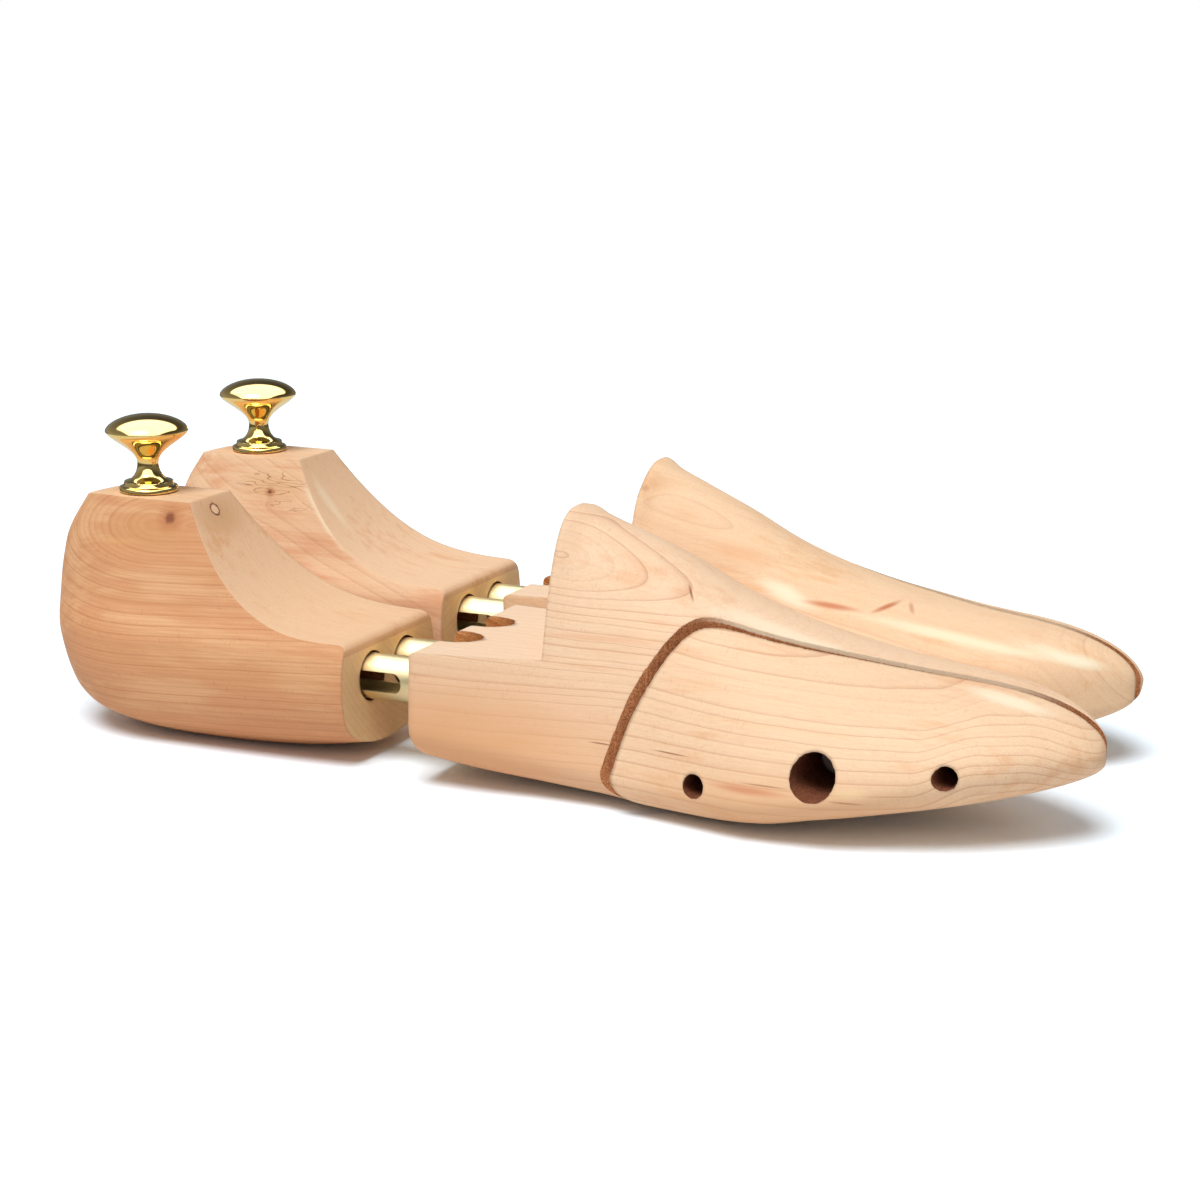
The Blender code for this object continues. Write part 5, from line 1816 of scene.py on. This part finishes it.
@dataclass(frozen=True)
class Studio:
    """White floor, soft light from above, and the camera."""

    camera_at: Triple = (0.299635, -0.64829, 0.20558)
    yaw: float = 24.52
    pitch: float = 13.08
    lens: float = 78.0
    floor_colour: float = 0.85
    floor_mirrored: float = 0.8
    floor_far: float = 0.1
    floor_turn: tuple[float, float] = (0.3, 0.55)
    floor_seen: Triple = (1.13, 1.27, 1.39)
    sky: float = 0.27
    panel: float = 2.4
    panel_fall: float = 0.4
    panel_low: tuple[float, float] = (0.6, 0.68)
    panel_side: tuple[float, float] = (0.72, 0.6)
    sun: float = 2.42
    sun_size: float = 32.0
    sun_run: Triple = (-0.02, 0.5, -1.0)

    def camera(self) -> None:
        """Place the camera."""
        data = bpy.data.cameras.new("camera")
        data.lens = self.lens
        data.sensor_width = 36.0
        data.clip_start = 0.01
        item = placed_item("camera", data)
        item.location = self.camera_at
        item.rotation_euler = (math.radians(90.0 - self.pitch), 0.0, math.radians(self.yaw))
        bpy.context.scene.camera = item

    def floor(self) -> None:
        """A white floor that keeps the shadow; its lit part shows white to the camera.

        In the brass it shows pale near the trees and dark further off.
        """
        bm = bmesh.new()
        bmesh.ops.create_grid(bm, x_segments=8, y_segments=8, size=4.0)
        floor = placed_item("floor", to_mesh(bm, "floor"))
        plan = Plan(bpy.data.materials.new("floor_white"))
        paint, close, far, shown = [
            plan.node("ShaderNodeBsdfDiffuse", None, {"Color": colour}).outputs[0]
            for colour in ((self.floor_colour,) * 3, (self.floor_mirrored,) * 3,
                           (self.floor_far,) * 3, self.floor_seen)]
        reach = plan.length(plan.node("ShaderNodeTexCoord").outputs["Object"])
        path = plan.node("ShaderNodeLightPath").outputs
        surface = paint
        mirrored = plan.choice(plan.between(reach, *self.floor_turn), close, far)
        for ray, other in (("Is Glossy Ray", mirrored), ("Is Camera Ray", shown)):
            surface = plan.choice(path[ray], surface, other)
        plan.node("ShaderNodeOutputMaterial", None, {"Surface": surface})
        floor.data.materials.append(plan.owner)

    def world(self) -> None:
        """White to the camera, a soft sky for the wood, and a dim room for the brass.

        The room has a large bright panel overhead, which comes down low in front and stays
        high at the back.
        """
        world = bpy.data.worlds.new("studio")
        bpy.context.scene.world = world
        plan = Plan(world)
        x, y, z = plan.axes(plan.node("ShaderNodeTexCoord").outputs["Generated"])
        path = plan.node("ShaderNodeLightPath").outputs
        turn = math.radians(self.yaw)
        ahead = x * math.sin(turn) - y * math.cos(turn)
        aside = x * math.cos(turn) + y * math.sin(turn)
        above = z + plan.math("MAXIMUM", ahead, 0.0) * self.panel_fall
        panel = (plan.between(above, *self.panel_low)
                 * plan.between(plan.math("ABSOLUTE", aside), *self.panel_side))
        wall = 0.06 + 0.1 * plan.between(z, 0.5, 0.1) + 0.16 * plan.between(aside, 0.0, -0.9)
        strength = self.sky
        for ray, other in (("Is Glossy Ray", wall + panel * self.panel), ("Is Camera Ray", 1.0)):
            strength = plan.node("ShaderNodeMix", {"data_type": "FLOAT"},
                                 {0: path[ray], 2: strength, 3: other}).outputs[0]
        background = plan.node("ShaderNodeBackground", None,
                               {"Color": (1.0, 1.0, 1.0), "Strength": strength})
        plan.node("ShaderNodeOutputWorld", None, {"Surface": background.outputs[0]})

    def lamp(self) -> None:
        """A broad light from above the front, without fall-off."""
        data = bpy.data.lights.new("soft_light", "SUN")
        data.energy = self.sun
        data.angle = math.radians(self.sun_size)
        item = placed_item("soft_light", data)
        item.rotation_euler = Vector(self.sun_run).to_track_quat("-Z", "Y").to_euler()

    def build(self) -> None:
        """Make the whole studio."""
        self.camera()
        self.floor()
        self.world()
        self.lamp()
        bpy.context.scene.view_settings.view_transform = "Standard"


# The pair

WOOD_FIGURES = {
    Side.RIGHT: (("heel", NEAR_HEEL_SIDE, NEAR_HEEL_TOP), ("fore", NEAR_FORE_SIDE, FORE_TOP),
                 ("toe", NEAR_TOE_SIDE, FORE_TOP)),
    Side.LEFT: (("heel", FAR_HEEL_SIDE, FAR_HEEL_TOP), ("fore", FAR_FORE_SIDE, FORE_TOP),
                ("toe", FAR_FORE_SIDE, FORE_TOP)),
}
WOODEN_PIECES = (("heel_block", "heel_wood", "heel"), ("forepart", "forepart_wood", "foot"),
                 ("toe_side_piece", "toe_side_wood", "toe_side"))
METAL_PIECES = (
    ("knob", "turned", "heel", "gold_brass"),
    ("tube_lateral", "drawn", "tubes", "pale_brass"),
    ("tube_medial", "drawn", "tubes", "pale_brass"),
    ("spread_bolt", "socket", "foot", "steel"),
    ("guide_pin_rear", "ground", "foot", "steel"),
    ("guide_pin_front", "ground", "foot", "steel"),
    ("heel_spring_lateral", "coiled", "heel", "steel"),
    ("heel_spring_medial", "coiled", "heel", "steel"),
    ("spread_spring", "coiled", "foot", "steel"),
)


class ShoeTreePair:
    """Builds the meshes once for the right tree, and dresses both trees with them."""

    def __init__(self) -> None:
        """Make the shared sizes, meshes and metals."""
        self.bench = Workbench(len(Face))
        self.finishes = Finishes()
        self.tubes = TubePair()
        self.heel = HeelBlock()
        self.knob = Knob()
        self.toe = SplitToe()
        self.gear = SpreadGear()

    def wood_meshes(self) -> dict[str, bpy.types.Mesh]:
        """Heel block, main body and side piece in the tree's frame."""
        toe, tubes, gear = self.toe, self.tubes, self.gear
        outline, slots = toe.side_outline()
        cuts = [("INTERSECT", prism(outline, 4.0 * toe.lateral, slots, True)),
                ("DIFFERENCE", toe.cut_plan(0.0, 0.0, 5))]
        pin_end = tubes.spacing / 2.0 + tubes.radius + tubes.wood_pocket
        for index, (_, y) in enumerate(tubes.sides):
            cuts += [("DIFFERENCE", toe.tube_room(y, tubes, 21 + index)),
                     toe.notch(y, 51 + index)]
        cuts.append(drill(tubes.wood_bore, (tubes.pivot, -pin_end, tubes.height),
                          (tubes.pivot, toe.medial + 2.0 * BEYOND, tubes.height),
                          Face.DRILLED, 40))
        main = self.bench.carve(toe.loft(), cuts + gear.main_cuts(toe))
        self.bench.soften(main)
        # The depth sets the strip of painted light along the upper edge of the saw cut's wall.
        mark_depth(main, Face.SAWN, 0.4 * MM)
        tip, reach = toe.toe + BEYOND, 2.0 * toe.lateral
        slab = [(toe.rear, -reach), (tip, -reach), (tip, reach), (toe.rear, reach)]
        floor_cut = prism(slab, 2.0 * BEYOND, [0] * len(slab), False)
        bmesh.ops.translate(floor_cut, vec=(0.0, 0.0, -BEYOND), verts=floor_cut.verts)
        side = self.bench.carve(
            toe.loft(), [("INTERSECT", toe.cut_plan(toe.kerf, toe.swing, 6)),
                         ("DIFFERENCE", floor_cut)] + gear.side_cuts(toe))
        side.transform(Matrix.Translation((0.0, -toe.spread, 0.0)))
        self.bench.soften(side)
        return {"heel_block": self.heel.mesh(self.bench, tubes), "forepart": main,
                "toe_side_piece": side}

    def dress(self, stand: Stand, woods: dict[str, bpy.types.Mesh],
              metals: dict[str, bpy.types.Mesh]) -> None:
        """Put every piece of one tree on the frame."""
        for (node, name, body), (label, side, top) in zip(WOODEN_PIECES,
                                                          WOOD_FIGURES[stand.side]):
            stand.put(name, woods[node], self.finishes.wood(stand, label, side, top), body,
                      node)
        placed = {}
        for node, work, body, slot in METAL_PIECES:
            placed[node] = stand.put(f"{node}_{work}", metals[node],
                                     [self.finishes.metals[slot]], body, node)
        for node in ("heel_spring_lateral", "heel_spring_medial"):
            stand.shorten(placed[node], (1.0, 0.0, 0.0), self.heel.travel)
        stand.shorten(placed["spread_spring"], (0.0, -1.0, 0.0),
                      self.gear.travel)
        for node in ("pivot_pin", "heel_cross_pin", "knob_stud"):
            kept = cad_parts[f"{stand.side.value}_{node}"]
            kept.data.materials.clear()
            kept.data.materials.append(self.finishes.metals["steel"])

    def metal_meshes(self) -> dict[str, bpy.types.Mesh]:
        """The metal pieces in the tree's frame, by the CAD node that each stands for."""
        steel = self.finishes.metals["steel"]
        made = {"knob": self.knob.mesh(),
                "spread_bolt": self.gear.bolt(self.toe, self.bench)}
        for name, mesh in self.tubes.meshes(self.bench).items():
            made[f"tube_{name}"] = mesh
        for name, mesh in self.gear.pins(self.toe).items():
            made[f"guide_pin_{name}"] = mesh
        for name, mesh in self.heel.springs(self.tubes, steel).items():
            made[f"heel_spring_{name}"] = mesh
        made["spread_spring"] = self.gear.spring(self.toe, steel)
        return made

    def build(self) -> None:
        """Make and place everything."""
        woods = self.wood_meshes()
        metals = self.metal_meshes()
        for side in Side:
            self.dress(Stand(side), woods, metals)
        for mesh in list(woods.values()) + list(metals.values()):
            bpy.data.meshes.remove(mesh)
        self.bench.clear()


def main() -> None:
    """Build the pair and its studio."""
    logging.basicConfig(level=logging.INFO, format="%(name)s %(message)s")
    ShoeTreePair().build()
    Studio().build()
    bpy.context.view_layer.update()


if __name__ == "__main__":
    main()
